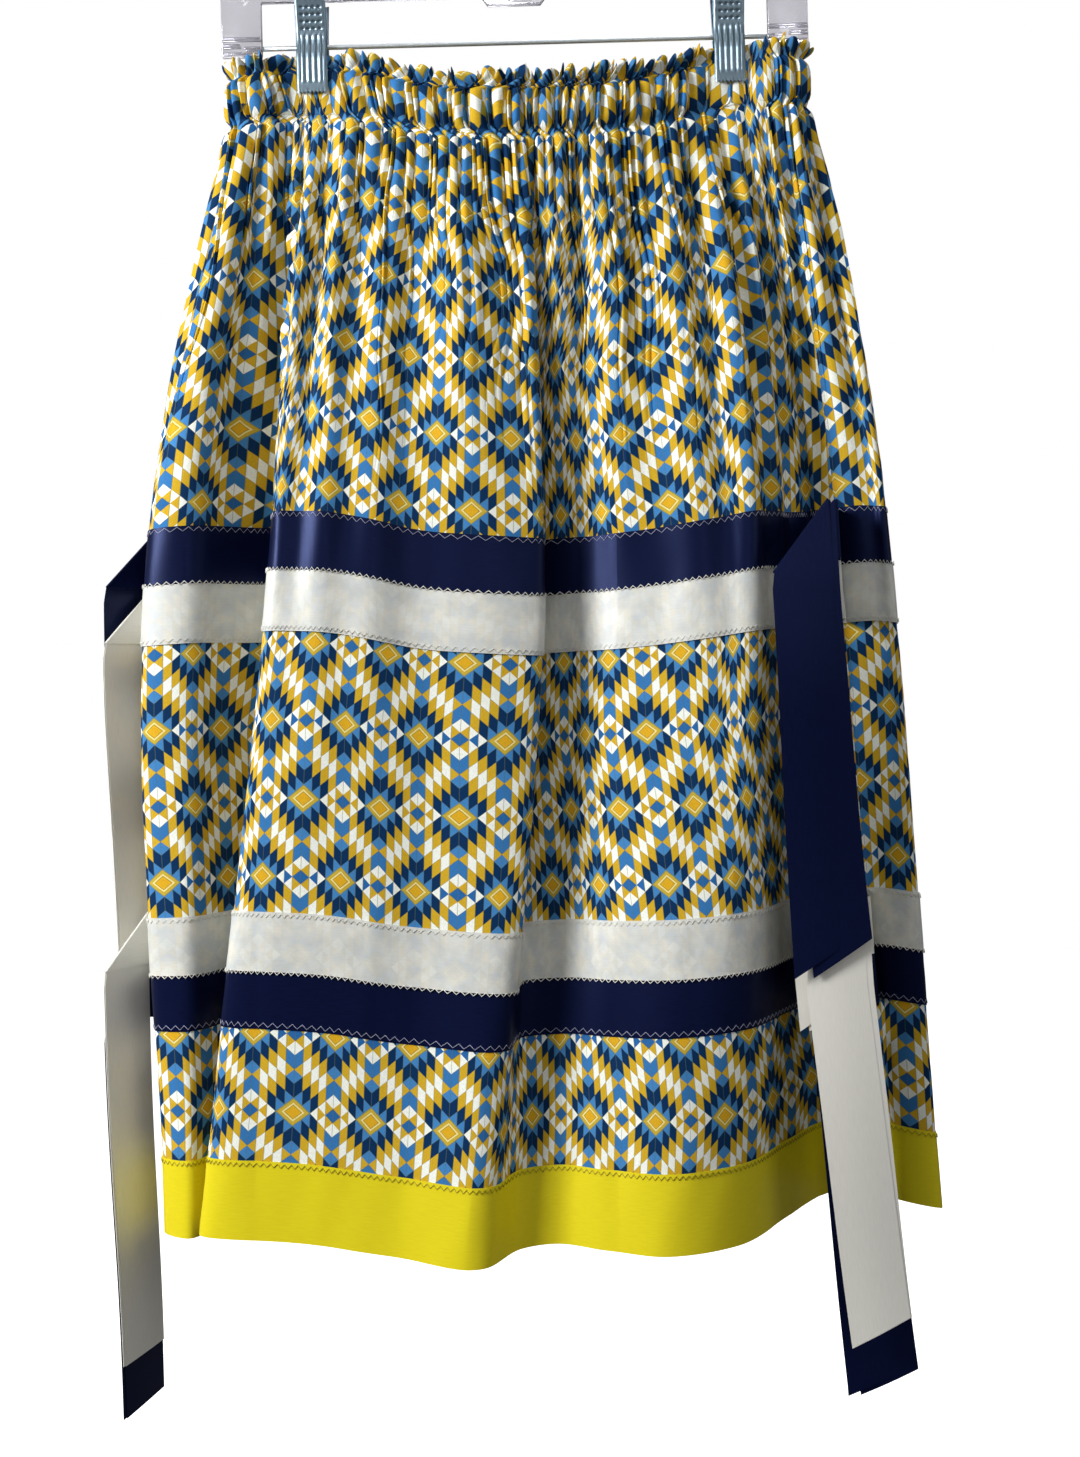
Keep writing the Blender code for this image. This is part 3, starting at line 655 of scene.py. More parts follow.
def gathered_row(side, down):
    """One row across a panel: places round the skirt, how far out, places in the print, lift."""
    gathers = UNEVEN[side]
    above = max(0.0, 1 - down / FRILL_SEAM)
    widths = np.maximum(np.diff(gather_edges(side, down)), NARROWEST_GATHER)
    widths *= GATHERS / widths.sum()
    low, width = (np.cumsum(widths) - widths)[:, None], widths[:, None]
    place = low + width * ACROSS_GATHER
    hidden = value_at(HIDDEN, down) * gathers.tuck[:, None]
    slip = hidden * (ACROSS_GATHER - 0.5) * width
    slip[:, 0] = 0.0
    size = value_at(GATHER_SIZE, down) * gathers.strength
    if down > CASING_SEAM:
        size = size * np.exp(-(((down - CASING_SEAM) / gathers.reach) ** 1.5))
    crown = 2 * np.sin(np.pi * ACROSS_GATHER) ** CROWN_ROUND - 1
    turn = 2 * math.pi * place
    wave = np.sin(turn / SHORT_WAVE) + 0.6 * np.sin(turn / LONG_WAVE + 1)
    pinch = value_at(SEAM_PINCH, down)
    stand = pinch + size[:, None] * crown + FRILL_WAVE * above * wave
    lift = above * (FRILL_RAGGED * gathers.loop[:, None] + FRILL_LOOP * crown)
    # Each row ends on the panel's far edge
    parts = ((place, GATHERS), (stand, pinch - size[-1]), (place - slip, GATHERS), (lift, 0.0))
    place, stand, printed, lift = (np.append(values.ravel(), last) for values, last in parts)
    spots, steps = WAIST_STEPS[side]
    places, printed = (np.interp(values, steps, spots) for values in (place, printed))
    x = along_folds(places, down)[0][:, 0]
    calm = 1 - FLATTENED * near_clip(x, CLIP_HOLD, FLATTENED_FADE) * (down < FLATTENED_END)
    return places, stand * calm, printed, lift * calm


def star_number(place, down, side):
    """Places round the skirt as star numbers along the print."""
    if side == "back":
        return BACK_STAR + (place - BACK_START) / BACK_REPEAT
    spots = [np.interp(down, STAR_LEVELS, row) for row in STARS.values()]
    smooth = [np.interp(place + shift, spots, list(STARS)) for shift in STAR_BLUR]
    return np.mean(smooth, axis=0)


def cloth_row(side, down, outward):
    """Points and print places of one row of the cloth."""
    places, stand, in_print, lift = gathered_row(side, abs(down))
    relief = soft_relief(places, abs(down)) if abs(down) > CASING_SEAM else 0.0
    points = cloth_points(places, abs(down), stand + relief + outward)
    points[:, 2] += lift
    if side == "back":
        near = np.exp(-(((np.abs(points[:, 0]) - RAISE_MIDDLE) / RAISE_HALF) ** 4))
        near *= 1 - near_clip(points[:, 0], CLIP_HOLD, FLATTENED_FADE)
        points[:, 2] += BACK_RAISE * near * max(0.0, 1 - abs(down) / RAISE_END)
    star = star_number(in_print, abs(down), side)
    tall = np.full(len(places), (down - STAR_ROW) / REPEAT_TALL)
    return points, np.stack([star, tall], axis=1)


def linear(hex_colour):
    """A linear colour from an sRGB hex value."""
    channels = [int(hex_colour[k : k + 2], 16) / 255 for k in (1, 3, 5)]
    return [c / 12.92 if c <= 0.04045 else ((c + 0.055) / 1.055) ** 2.4 for c in channels] + [1.0]


def set_sockets(tree, node, inputs):
    """Sets a node's sockets to a value, or links them."""
    for socket, value in inputs.items():
        if isinstance(value, bpy.types.NodeSocket):
            tree.links.new(value, node.inputs[socket])
        else:
            node.inputs[socket].default_value = value


def add_node(tree, kind, settings=None, inputs=None, stops=()):
    """A node with its settings, its sockets set or linked, and a ramp's stops."""
    made = tree.nodes.new(kind)
    for name, value in (settings or {}).items():
        setattr(made, name, value)
    set_sockets(tree, made, inputs or {})
    if stops:
        made.color_ramp.interpolation = "CONSTANT"
        elements = made.color_ramp.elements
        elements.remove(elements[-1])
        elements[0].color = linear(stops[0][1])
        for position, colour in stops[1:]:
            elements.new(position).color = linear(colour)
    return made


def new_finish(name, roughness, metallic=0.0, ior=1.5):
    """A material with one Principled shader: the material, its tree and the shader."""
    material = bpy.data.materials.new(name)
    material.use_nodes = True
    tree = material.node_tree
    shader = tree.nodes["Principled BSDF"]
    set_sockets(tree, shader, {"Roughness": roughness, "Metallic": metallic, "IOR": ior})
    return material, tree, shader


def shaded(tree, noise, darkest, palest, colour):
    """A colour made darker and paler by noise."""
    inputs = {"Value": noise, "To Min": darkest, "To Max": palest}
    value = add_node(tree, "ShaderNodeMapRange", inputs=inputs).outputs[0]
    inputs = {"Value": value, "Color": colour}
    return add_node(tree, "ShaderNodeHueSaturation", inputs=inputs).outputs[0]


def chart_stops(line):
    """A chart line as the stops of a ramp, one for each change of colour."""
    stops = []
    for k, letter in enumerate(line):
        if not k or letter != line[k - 1]:
            stops.append((k / len(line), INKS[letter]))
    return stops


def star_print(tree):
    """Colour of the star print, from the cloth's own print map."""
    spot = add_node(tree, "ShaderNodeUVMap", {"uv_map": "print"}).outputs[0]
    split = add_node(tree, "ShaderNodeSeparateXYZ", inputs={0: spot})
    sums = {"star": split.outputs[0], "tall": split.outputs[1]}
    for name, operation, first, second in PRINT_SUMS:
        inputs = {0: sums.get(first, first), 1: sums.get(second, second)}
        sums[name] = add_node(tree, "ShaderNodeMath", {"operation": operation}, inputs).outputs[0]

    ramps = [("in_chart", chart_stops(line)) for line in CHART] + [("ring_share", STAR_RINGS)]
    *layers, rings = [
        add_node(tree, "ShaderNodeValToRGB", inputs={0: sums[along]}, stops=stops).outputs[0]
        for along, stops in ramps
    ]
    colour = layers[0]
    over = [(sums[f"past_{k}"], layers[k]) for k in range(1, len(CHART))]
    # Thin olive lines between the shapes, then the star's square middle in its rings
    over += [(sums["line"], linear(OUTLINE_INK)), (sums["in_ring"], rings)]
    for factor, upper in over:
        inputs = {"Factor": factor, "A": colour, "B": upper}
        colour = add_node(tree, "ShaderNodeMix", {"data_type": "RGBA"}, inputs).outputs["Result"]
    return colour


def uneven(tree, across_mm, along_mm):
    """Soft noise on the print map: as threads when these sizes are small, or as blotches."""
    spot = add_node(tree, "ShaderNodeUVMap", {"uv_map": "print"}).outputs[0]
    inputs = {0: spot, 1: (REPEAT / across_mm, REPEAT_TALL / along_mm, 1.0)}
    grid = add_node(tree, "ShaderNodeVectorMath", {"operation": "MULTIPLY"}, inputs).outputs[0]
    inputs = {"Vector": grid, "Scale": 1.0}
    return add_node(tree, "ShaderNodeTexNoise", {"noise_dimensions": "2D"}, inputs).outputs[0]


def printed_cotton(name, fade):
    """Plain-woven printed cotton, matt: crisp small shapes, with a soft grain of threads.

    fade is how far the print is lost to the bare cloth, as on its reverse."""
    material, tree, shader = new_finish(name, 0.82)
    # Threads of 0.3 mm wouldn't show, so the grain is drawn three times as coarse
    grain = uneven(tree, 0.9, 1.4)
    inputs = {"Factor": fade, "A": star_print(tree), "B": linear(BARE_COTTON)}
    faded = add_node(tree, "ShaderNodeMix", {"data_type": "RGBA"}, inputs).outputs["Result"]
    inputs = {"Height": grain, "Strength": 0.25, "Distance": 0.0002}
    bump = add_node(tree, "ShaderNodeBump", inputs=inputs).outputs[0]
    colour = shaded(tree, grain, 0.84, 1.14, faded)
    set_sockets(tree, shader, {"Base Color": colour, "Normal": bump, "Specular IOR Level": 0.12})
    return material


def satin(name, hex_colour, deep_colour, shine, roughness, ghost=0.0):
    """Polyester satin ribbon: smooth, with a silky shine and long threads that run along it.

    ghost is how much of the print under it shows through a pale ribbon, in soft blotches."""
    material, tree, shader = new_finish(name, roughness)
    grain = uneven(tree, 9.0, 0.7)
    over = [(grain, linear(hex_colour))]
    if ghost:
        inputs = {"Value": uneven(tree, 14.0, 13.0), "From Min": 0.35, "From Max": 0.65}
        inputs["To Max"] = ghost
        blotch = add_node(tree, "ShaderNodeMapRange", inputs=inputs).outputs[0]
        over += [(blotch, linear(GHOST_INK)), (ghost * 0.3, star_print(tree))]
    colour = linear(deep_colour)
    for factor, upper in over:
        inputs = {"Factor": factor, "A": colour, "B": upper}
        colour = add_node(tree, "ShaderNodeMix", {"data_type": "RGBA"}, inputs).outputs["Result"]
    inputs = {"Height": grain, "Strength": 0.2, "Distance": 0.0001}
    bump = add_node(tree, "ShaderNodeBump", inputs=inputs).outputs[0]
    inputs = {"Base Color": colour, "Normal": bump, "Specular Tint": linear(shine)}
    set_sockets(tree, shader, inputs | {"Specular IOR Level": 0.4, "Anisotropic": 0.5})
    return material


def sewing_thread(name, hex_colour):
    """Spun polyester thread: a slightly glossy twist."""
    material, tree, shader = new_finish(name, 0.5)
    place = add_node(tree, "ShaderNodeTexCoord").outputs["Object"]
    inputs = {"Vector": place, "Scale": 2400.0}
    twist = add_node(tree, "ShaderNodeTexNoise", inputs=inputs).outputs[0]
    set_sockets(tree, shader, {"Base Color": shaded(tree, twist, 0.75, 1.2, linear(hex_colour))})
    return material


def clear_styrene():
    """Moulded clear polystyrene: glassy, with faint flow marks that bend what lies behind it."""
    material, tree, shader = new_finish("clear_styrene", 0.06, ior=1.59)
    place = add_node(tree, "ShaderNodeTexCoord").outputs["Object"]
    inputs = {"Vector": place, "Scale": 140.0, "Detail": 2.0}
    flow = add_node(tree, "ShaderNodeTexNoise", inputs=inputs).outputs[0]
    inputs = {"Height": flow, "Strength": 0.25, "Distance": 0.0006}
    bump = add_node(tree, "ShaderNodeBump", inputs=inputs).outputs[0]
    inputs = {"Normal": bump, "Base Color": linear("#C9C8CF"), "Transmission Weight": 0.85}
    set_sockets(tree, shader, inputs)
    return material


def zinc_plate(name, hex_colour, roughness):
    """Bright zinc plate on pressed steel: cool silver with faint rubbing along its length."""
    material, tree, shader = new_finish(name, roughness, metallic=1.0)
    place = add_node(tree, "ShaderNodeTexCoord").outputs["Object"]
    inputs = {"Vector": place, "Scale": (1500.0, 1500.0, 90.0)}
    drawn = add_node(tree, "ShaderNodeMapping", inputs=inputs).outputs[0]
    inputs = {"Vector": drawn, "Scale": 1.0}
    rub = add_node(tree, "ShaderNodeTexNoise", inputs=inputs).outputs[0]
    inputs = {"Value": rub, "To Min": roughness * 0.8, "To Max": roughness * 1.4}
    rough = add_node(tree, "ShaderNodeMapRange", inputs=inputs).outputs[0]
    colour = shaded(tree, rub, 0.85, 1.1, linear(hex_colour))
    set_sockets(tree, shader, {"Base Color": colour, "Roughness": rough})
    return material


def make_finishes():
    """Every material by name."""
    made = [
        printed_cotton("printed_cotton_face", 0.0),
        printed_cotton("printed_cotton_reverse", 0.55),
        satin("satin_navy", "#0C1436", "#080C26", "#7284C8", 0.34),
        # The tails' cream satin is the bands' cream ribbon painted paler: painted light that makes up
        # for the light the hanging tails miss
        satin("satin_cream", "#F0EEE6", "#E4E2D9", "#FFFFFF", 0.42),
        satin("satin_cream_on_print", "#E6E6DF", "#D8D8CF", "#FFFFFF", 0.4, ghost=0.26),
        satin("satin_yellow", "#EBDB24", "#DECD1C", "#FFFAC0", 0.4),
        sewing_thread("grey_thread", "#A6A9C0"),
        sewing_thread("cream_thread", "#EAE8DE"),
        sewing_thread("yellow_thread", "#A8961A"),
        clear_styrene(),
        zinc_plate("zinc_plate", "#8A9EAC", 0.36),
        zinc_plate("drawn_steel", "#E2EAEE", 0.42),
    ]
    return {material.name: material for material in made}


def make_piece(name, points, faces, *materials, uv=None, smooth=True):
    """An object from points in millimetres, with its place in its mesh."""
    mesh = bpy.data.meshes.new(name)
    faces = [tuple(int(corner) for corner in face) for face in faces]
    mesh.from_pydata((np.asarray(points, float) * MM).tolist(), [], faces)
    for material in materials:
        mesh.materials.append(finishes[material])
    if uv is not None:
        layer = mesh.uv_layers.new(name="print")
        corners = np.empty(len(mesh.loops), int)
        mesh.loops.foreach_get("vertex_index", corners)
        layer.data.foreach_set("uv", np.asarray(uv)[corners].ravel())
    if smooth:
        mesh.shade_smooth()
    piece = bpy.data.objects.new(name, mesh)
    bpy.context.collection.objects.link(piece)
    return piece


def grid_faces(rows, columns):
    """Quads of a grid of vertices, facing outwards on the cloth."""
    index = np.arange(rows * columns).reshape(rows, columns)
    corners = index[:-1, :-1], index[1:, :-1], index[1:, 1:], index[:-1, 1:]
    return np.stack(corners, axis=-1).reshape(-1, 4)


def apply_modifiers(piece, smooth_angle):
    """Makes a piece's modifiers part of its mesh, and keeps edges above this angle crisp."""
    bpy.ops.object.select_all(action="DESELECT")
    piece.select_set(True)
    bpy.context.view_layer.objects.active = piece
    for modifier in list(piece.modifiers):
        bpy.ops.object.modifier_apply(modifier=modifier.name)
    bpy.ops.object.shade_smooth_by_angle(angle=math.radians(smooth_angle))


def give_wall(piece, thickness, reverse=0):
    """Turns an open shell into a wall, half to each side, with the reverse in its own material."""
    wall = piece.modifiers.new("wall", "SOLIDIFY")
    wall.thickness = thickness * MM
    wall.offset = 0.0
    wall.use_even_offset = False
    wall.material_offset = reverse
    apply_modifiers(piece, 60)


def dress(piece, slot, *nodes):
    """Puts a piece on the frame in the place of its solids."""
    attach(piece, "root")
    if nodes:
        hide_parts(*nodes)
    return piece


def panel_downs(top, bottom):
    """Rows of a panel, closer together under the gathers."""
    rows = [top]
    while rows[-1] < bottom:
        rows.append(rows[-1] + float(value_at(ROW_STEP, rows[-1])))
    rows[-1] = bottom
    return rows


def cloth_shell(name, side, downs, outward, *materials):
    """An open shell of the cloth through these rows."""
    rows = [cloth_row(side, down, outward) for down in downs]
    points, uv = (np.concatenate(parts) for parts in zip(*rows))
    faces = grid_faces(len(downs), len(rows[0][0]))
    return make_piece(name, points, faces, *materials, uv=uv)


def make_casing(side):
    """The turned-over top of a panel: frill, stitched line, and the tube that holds the elastic."""
    rows = [cloth_row(side, down, value_at(CASING_WALL, down)) for down in CASING_ROWS]
    for down in CASING_ROWS[-2::-1]:
        # The inner layer is the same cloth carried on past the fold at the top of the frill
        points, uv = cloth_row(side, down, -value_at(CASING_WALL, down))
        uv[:, 1] = (-down - STAR_ROW) / REPEAT_TALL
        rows.append((points, uv))
    points, uv = (np.concatenate(parts) for parts in zip(*rows))
    columns = len(rows[0][0])
    faces = grid_faces(len(rows), columns)[:, ::-1]
    first = np.arange(columns - 1)
    last = first + columns * (len(rows) - 1)
    closing = np.stack([last, first, first + 1, last + 1], axis=1)[:, ::-1]
    faces = np.concatenate([faces, closing])
    piece = make_piece(f"waist_casing_{side}_cloth", points, faces, "printed_cotton_face", uv=uv)
    caps = bmesh.new()
    caps.from_mesh(piece.data)
    bmesh.ops.holes_fill(caps, edges=[e for e in caps.edges if e.is_boundary], sides=0)
    caps.to_mesh(piece.data)
    caps.free()
    return piece


def make_cloth():
    """Casing, panels, ribbons and hem band, front and back, each a sheet of its own."""
    materials = {
        "navy_satin": "satin_navy",
        "cream_satin": "satin_cream_on_print",
        "yellow_satin": "satin_yellow",
    }
    for side, (start, end) in SIDES.items():
        casing = dress(make_casing(side), "printed_cotton", f"waist_casing_{side}")
        downs = panel_downs(CASING_SEAM - PANEL_TUCK, CUT_LENGTH - PANEL_INSET)
        faces = "printed_cotton_face", "printed_cotton_reverse"
        panel = cloth_shell(f"{side}_panel_cloth", side, downs, 0.0, *faces)
        give_wall(panel, COTTON_WALL, reverse=1)
        dress(panel, "printed_cotton", f"{side}_panel")
        outward = COTTON_WALL / 2 + LAYER_GAP + RIBBON_WALL / 2
        for band in BANDS:
            count = 2 + round((band.bottom - band.top) / RIBBON_ROWS)
            downs = np.linspace(band.top + RIBBON_INSET, band.bottom - RIBBON_INSET, count)
            name = f"{band.name}_{side}_satin"
            ribbon = cloth_shell(name, side, downs, outward + band.over, materials[band.finish])
            give_wall(ribbon, RIBBON_WALL)
            dress(ribbon, band.finish, f"{band.name}_{side}")


def make_wire(name, path, radius, material, sides=4):
    """A thin tube along a path in millimetres."""
    path = np.asarray(path, float)
    along = np.gradient(path, axis=0)
    along /= np.linalg.norm(along, axis=1)[:, None]
    across = np.cross(along, (0.0, 0.0, 1.0)) + 1e-9
    across /= np.linalg.norm(across, axis=1)[:, None]
    up = np.cross(across, along)
    turn = 2 * math.pi * np.arange(sides) / sides
    ring = radius * (
        across[:, None] * np.cos(turn)[None, :, None] + up[:, None] * np.sin(turn)[None, :, None]
    )
    points = (path[:, None] + ring).reshape(-1, 3)
    index = np.arange(len(path) * sides).reshape(-1, sides)
    following = np.roll(index, -1, axis=1)
    corners = index[:-1], following[:-1], following[1:], index[1:]
    faces = np.stack(corners, axis=-1).reshape(-1, 4).tolist()
    faces += [index[0][::-1].tolist(), index[-1].tolist()]
    return make_piece(name, points, faces, material)


def make_stitching():
    """Zigzag and picot lines along the edges of the ribbons and the hem band."""
    for stitching in STITCHING:
        outward = COTTON_WALL / 2 + LAYER_GAP + RIBBON_WALL + stitching.radius * 0.7
        if stitching.thread == "cream_thread":
            outward += max(band.over for band in BANDS)
        count = int(AROUND / (stitching.pitch / 2))
        places = np.linspace(0.0, AROUND, count, endpoint=False)
        path = []
        for k, place in enumerate(places):
            down = stitching.down + (stitching.width / 2) * (-1) ** k
            relief = soft_relief(np.array([place]), down)
            path.append(cloth_points(place, down, relief + outward)[0])
        piece = make_wire(stitching.name, path, stitching.radius, stitching.thread)
        slot = "cream_satin" if stitching.thread == "cream_thread" else "navy_satin"
        dress(piece, "yellow_satin" if stitching.thread == "yellow_thread" else slot)


def stack_point(side, across, depth, z):
    """A point of the stack of tails, across its width from the left edge and back into it."""
    rows = STACKS[side]
    heights = [-row.z for row in rows]
    x, y, turned = (np.interp(-z, heights, [row[k] for row in rows]) for k in (1, 2, 3))
    cosine, sine = math.cos(math.radians(turned)), math.sin(math.radians(turned))
    return np.array((x + across * cosine - depth * sine, y + across * sine + depth * cosine, z))


def tail_root(side, down, elbow, other_elbow):
    """Where a layer leaves the seam, beside the other layer on the way to its elbow."""
    base, out = (cloth_points(SEAMS[side], down, outward)[0] for outward in (0.0, 1.0))
    normal = (out - base)[:2]
    way = (elbow + other_elbow) / 2 - base[:2]
    way /= np.hypot(*way)
    aside = np.array([-way[1], way[0]])
    if aside @ (elbow - other_elbow) < 0:
        aside = -aside
    lean = normal @ aside
    clear = SOLID_PANEL_WALL / 2 + 2 * SEAM_GAP + SOLID_RIBBON_WALL * (1 + abs(lean) / 2)
    reach = (clear - ROOT_APART * lean) / (normal @ way)
    root = base[:2] + way * reach + aside * ROOT_APART
    return np.array((*root, base[2]))


def tail_lines(tail, layer):
    """Lines across a tail from the seam to its hanging end, each by its right and left ends."""
    side = tail.side
    band = next(band for band in BANDS if band.name.startswith(tail.band))
    inset = SEAM_GAP + SOLID_RIBBON_WALL / 2
    edges = band.top + inset, band.bottom - inset
    z_top, z_bottom = (cloth_points(SEAMS[side], down, 0.0)[0][2] for down in edges)

    def place(across, depth, z):
        return stack_point(side, across, depth, z)

    def layer_depths(of_layer):
        depths = [tail.depth + LAYER_STEP * k for k in (of_layer, 3 - of_layer)]
        return depths if ROOT_IN_FRONT[side] else depths[::-1]

    def elbow(of_layer, z):
        reach = ELBOW_REACH + (OUTER_REACH if of_layer == OUTER_LAYER else 0.0)
        right = tail.across + LAYER_SHIFT[side] * of_layer + TAIL_WIDTH
        return place(right + reach, layer_depths(of_layer)[0], z)

    elbows = [[elbow(k, z)[:2] for z in (z_top, z_bottom)] for k in (layer, 1 - layer)]
    roots = [tail_root(side, edges[k], elbows[0][k], elbows[1][k]) for k in (0, 1)]
    left = tail.across + LAYER_SHIFT[side] * layer
    right = left + TAIL_WIDTH
    root, hang = layer_depths(layer)
    z_fold = z_bottom - FOLD_DROP[side]
    z_hang = z_fold - FOLD_TO_HANG

    turned = [
        (roots[0], roots[1]),
        (elbow(layer, z_top), elbow(layer, z_bottom)),
        (place(right, root, z_top), place(left, root, z_fold)),
    ]
    lines = []
    for near, far in zip(turned, turned[1:]):
        for t in np.arange(TURN_LINES) / TURN_LINES:
            lines.append([near[k] * (1 - t) + far[k] * t for k in (0, 1)])
    for angle in np.linspace(0, math.pi, FOLD_LINES):
        depth = (root + hang) / 2 + (root - hang) / 2 * math.cos(angle)
        bulge = FOLD_BULGE * abs(root - hang) * math.sin(angle)
        ends = (right, z_top), (left, z_fold)
        lines.append([place(across - bulge, depth, z + bulge) for across, z in ends])
    for share in np.linspace(0, 1, HANG_LINES) ** 1.3:
        z_left = z_hang + share * (tail.end_z - z_hang)
        drift = (tail.apart * layer + tail.swing) * share**1.3
        z_right = z_left + share * tail.cut
        lines.append([place(right + drift, hang, z_right), place(left + drift, hang, z_left)])
    for line in lines:
        inwards = (line[0] - line[1]) / np.linalg.norm(line[0] - line[1])
        near = math.exp(-(((line[1][2] - z_fold) / CORNER_REACH) ** 2))
        line[1] = line[1] + inwards * CORNER_INSET * near
    return lines


def make_tails():
    """A pair of ribbon ends for each band at each side seam, folded once and hanging down."""
    shares = np.linspace(0, 1, TAIL_COLUMNS)[:, None]
    for tail in TAILS:
        colour = "navy" if "navy" in tail.band else "cream"
        for layer, letter in enumerate("ab"):
            lines = tail_lines(tail, layer)
            points = np.array([right * (1 - shares) + left * shares for right, left in lines])
            steps = np.linalg.norm(np.diff(points.mean(axis=1), axis=0), axis=1)
            down = np.concatenate([[0], np.cumsum(steps)])
            z = points[:, :, 2]
            low = np.clip((SWAY_TOP - z) / SWAY_FADE, 0.0, 1.0)
            sway = SWAY * np.sin((z - SWAY_TOP) / SWAY_WAVE) * low
            across = np.abs(points - points[:, :1]).max(axis=2) / TAIL_WIDTH
            cup = CUP * low * np.sin(math.pi * np.clip(across, 0, 1))
            points[:, :, 1] += sway - cup
            map_ways = down[:, None] / REPEAT, shares.T * TAIL_WIDTH / REPEAT_TALL
            uv = np.stack(np.broadcast_arrays(*map_ways), axis=-1).reshape(-1, 2)
            faces = grid_faces(len(lines), TAIL_COLUMNS)
            name = f"tail_{tail.side}_{tail.band}_{letter}"
            # Cream tails take the cream satin painted paler than the bands' cream ribbon, as painted
            # light for the light they miss
            piece = make_piece(f"{name}_satin", points.reshape(-1, 3), faces, f"satin_{colour}", uv=uv)
            give_wall(piece, RIBBON_WALL)
            dress(piece, f"{colour}_satin", name)


def arc(middle_x, middle_z, radius, start, end, count):
    """Points of an arc in the XZ plane, with its angles in degrees."""
    angles = np.radians(np.linspace(start, end, count))
    return [(middle_x + radius * math.cos(a), middle_z + radius * math.sin(a)) for a in angles]


def round_edges(piece, width, segments=3):
    """Rounds a piece's sharp edges."""
    bevel = piece.modifiers.new("edges", "BEVEL")
    bevel.width = width * MM
    bevel.segments = segments
    bevel.limit_method = "ANGLE"
    bevel.angle_limit = math.radians(40)
    apply_modifiers(piece, 35)


def prism(name, outline, front_y, back_y, material):
    """A flat piece from its outline in the XZ plane, between two depths."""
    count = len(outline)
    points = [(x, y, z) for y in (front_y, back_y) for x, z in outline]
    faces = [list(range(count))[::-1], list(range(count, 2 * count))]
    for k in range(count):
        following = (k + 1) % count
        faces.append([k, following, following + count, k + count])
    piece = make_piece(name, points, faces, material, smooth=False)
    turned = bmesh.new()
    turned.from_mesh(piece.data)
    bmesh.ops.recalc_face_normals(turned, faces=turned.faces)
    turned.to_mesh(piece.data)
    turned.free()
    return piece


def join_pieces(name, pieces):
    """One object from several, under the first one's materials."""
    bpy.ops.object.select_all(action="DESELECT")
    for piece in pieces:
        piece.select_set(True)
    bpy.context.view_layer.objects.active = pieces[0]
    bpy.ops.object.join()
    pieces[0].name = name
    pieces[0].data.name = name
    return pieces[0]


def make_hanger():
    """The clear frame with ribbed legs, the rod between them and the hook above."""
    half = [
        (BOSS_HALF - BOSS_SLOPE, BOSS_TOP),
        (BOSS_HALF, BOSS_TOP - BOSS_SLOPE),
        (BOSS_HALF + BOSS_SLOPE, BAR_TOP),
    ]
    half += arc(LEG_OUTER - BAR_CORNER, BAR_TOP - BAR_CORNER, BAR_CORNER, 90, 0, 7)
    half += [(LEG_OUTER, LEG_BOTTOM), (LEG_INNER, LEG_BOTTOM), (LEG_INNER, BAR_BOTTOM)]
    half += [(BOSS_HALF, BAR_BOTTOM), (BOSS_HALF - BOSS_SLOPE, BOSS_BOTTOM)]
    outline = half + [(-x, z) for x, z in reversed(half)]
    face = FRAME_WALL / 2
    body = prism("hanger_frame_clear", outline, -face, face, "clear_styrene")
    round_edges(body, 0.9)
    parts = [body]
    for side in (-1, 1):
        for low, start, end in RIBS:
            ends = LEG_INNER + start + RIB_INSET, LEG_INNER + end - RIB_INSET
            inner, outer = sorted(side * end for end in ends)
            high = low + RIB_HEIGHT
            rib = [(inner, low), (outer, low), (outer, high), (inner, high)]
            for front in (-1, 1):
                depths = sorted((front * (face - RIB_SUNK), front * (face + RIB_PROUD)))
                parts.append(prism("rib", rib, *depths, "clear_styrene"))
                round_edges(parts[-1], 0.3, 2)
    dress(join_pieces("hanger_frame_clear", parts), "clear_plastic", "hanger_frame")

    end = LEG_INNER - SEAM_GAP
    path = [(x, 0.0, ROD_Z) for x in np.linspace(-end, end, 9)]
    rod = make_wire("hanger_rod_steel", path, ROD_RADIUS, "drawn_steel", 20)
    dress(rod, "plated_steel", "hanger_rod")

    route = arc(0.0, HOOK_WIRE - HOOK_RADIUS, HOOK_RADIUS, 205, -50, 52)
    route += arc(NECK_BEND, NECK_Z, NECK_BEND, 120, 180, 12)
    route += [(0.0, z) for z in (NECK_Z - 2, NECK_Z - 6, BOSS_TOP + SEAM_GAP)]
    path = [(x, 0.0, z) for x, z in route]
    hook = make_wire("hanger_hook_wire", path, HOOK_WIRE, "drawn_steel", 20)
    dress(hook, "plated_steel", "hanger_hook")


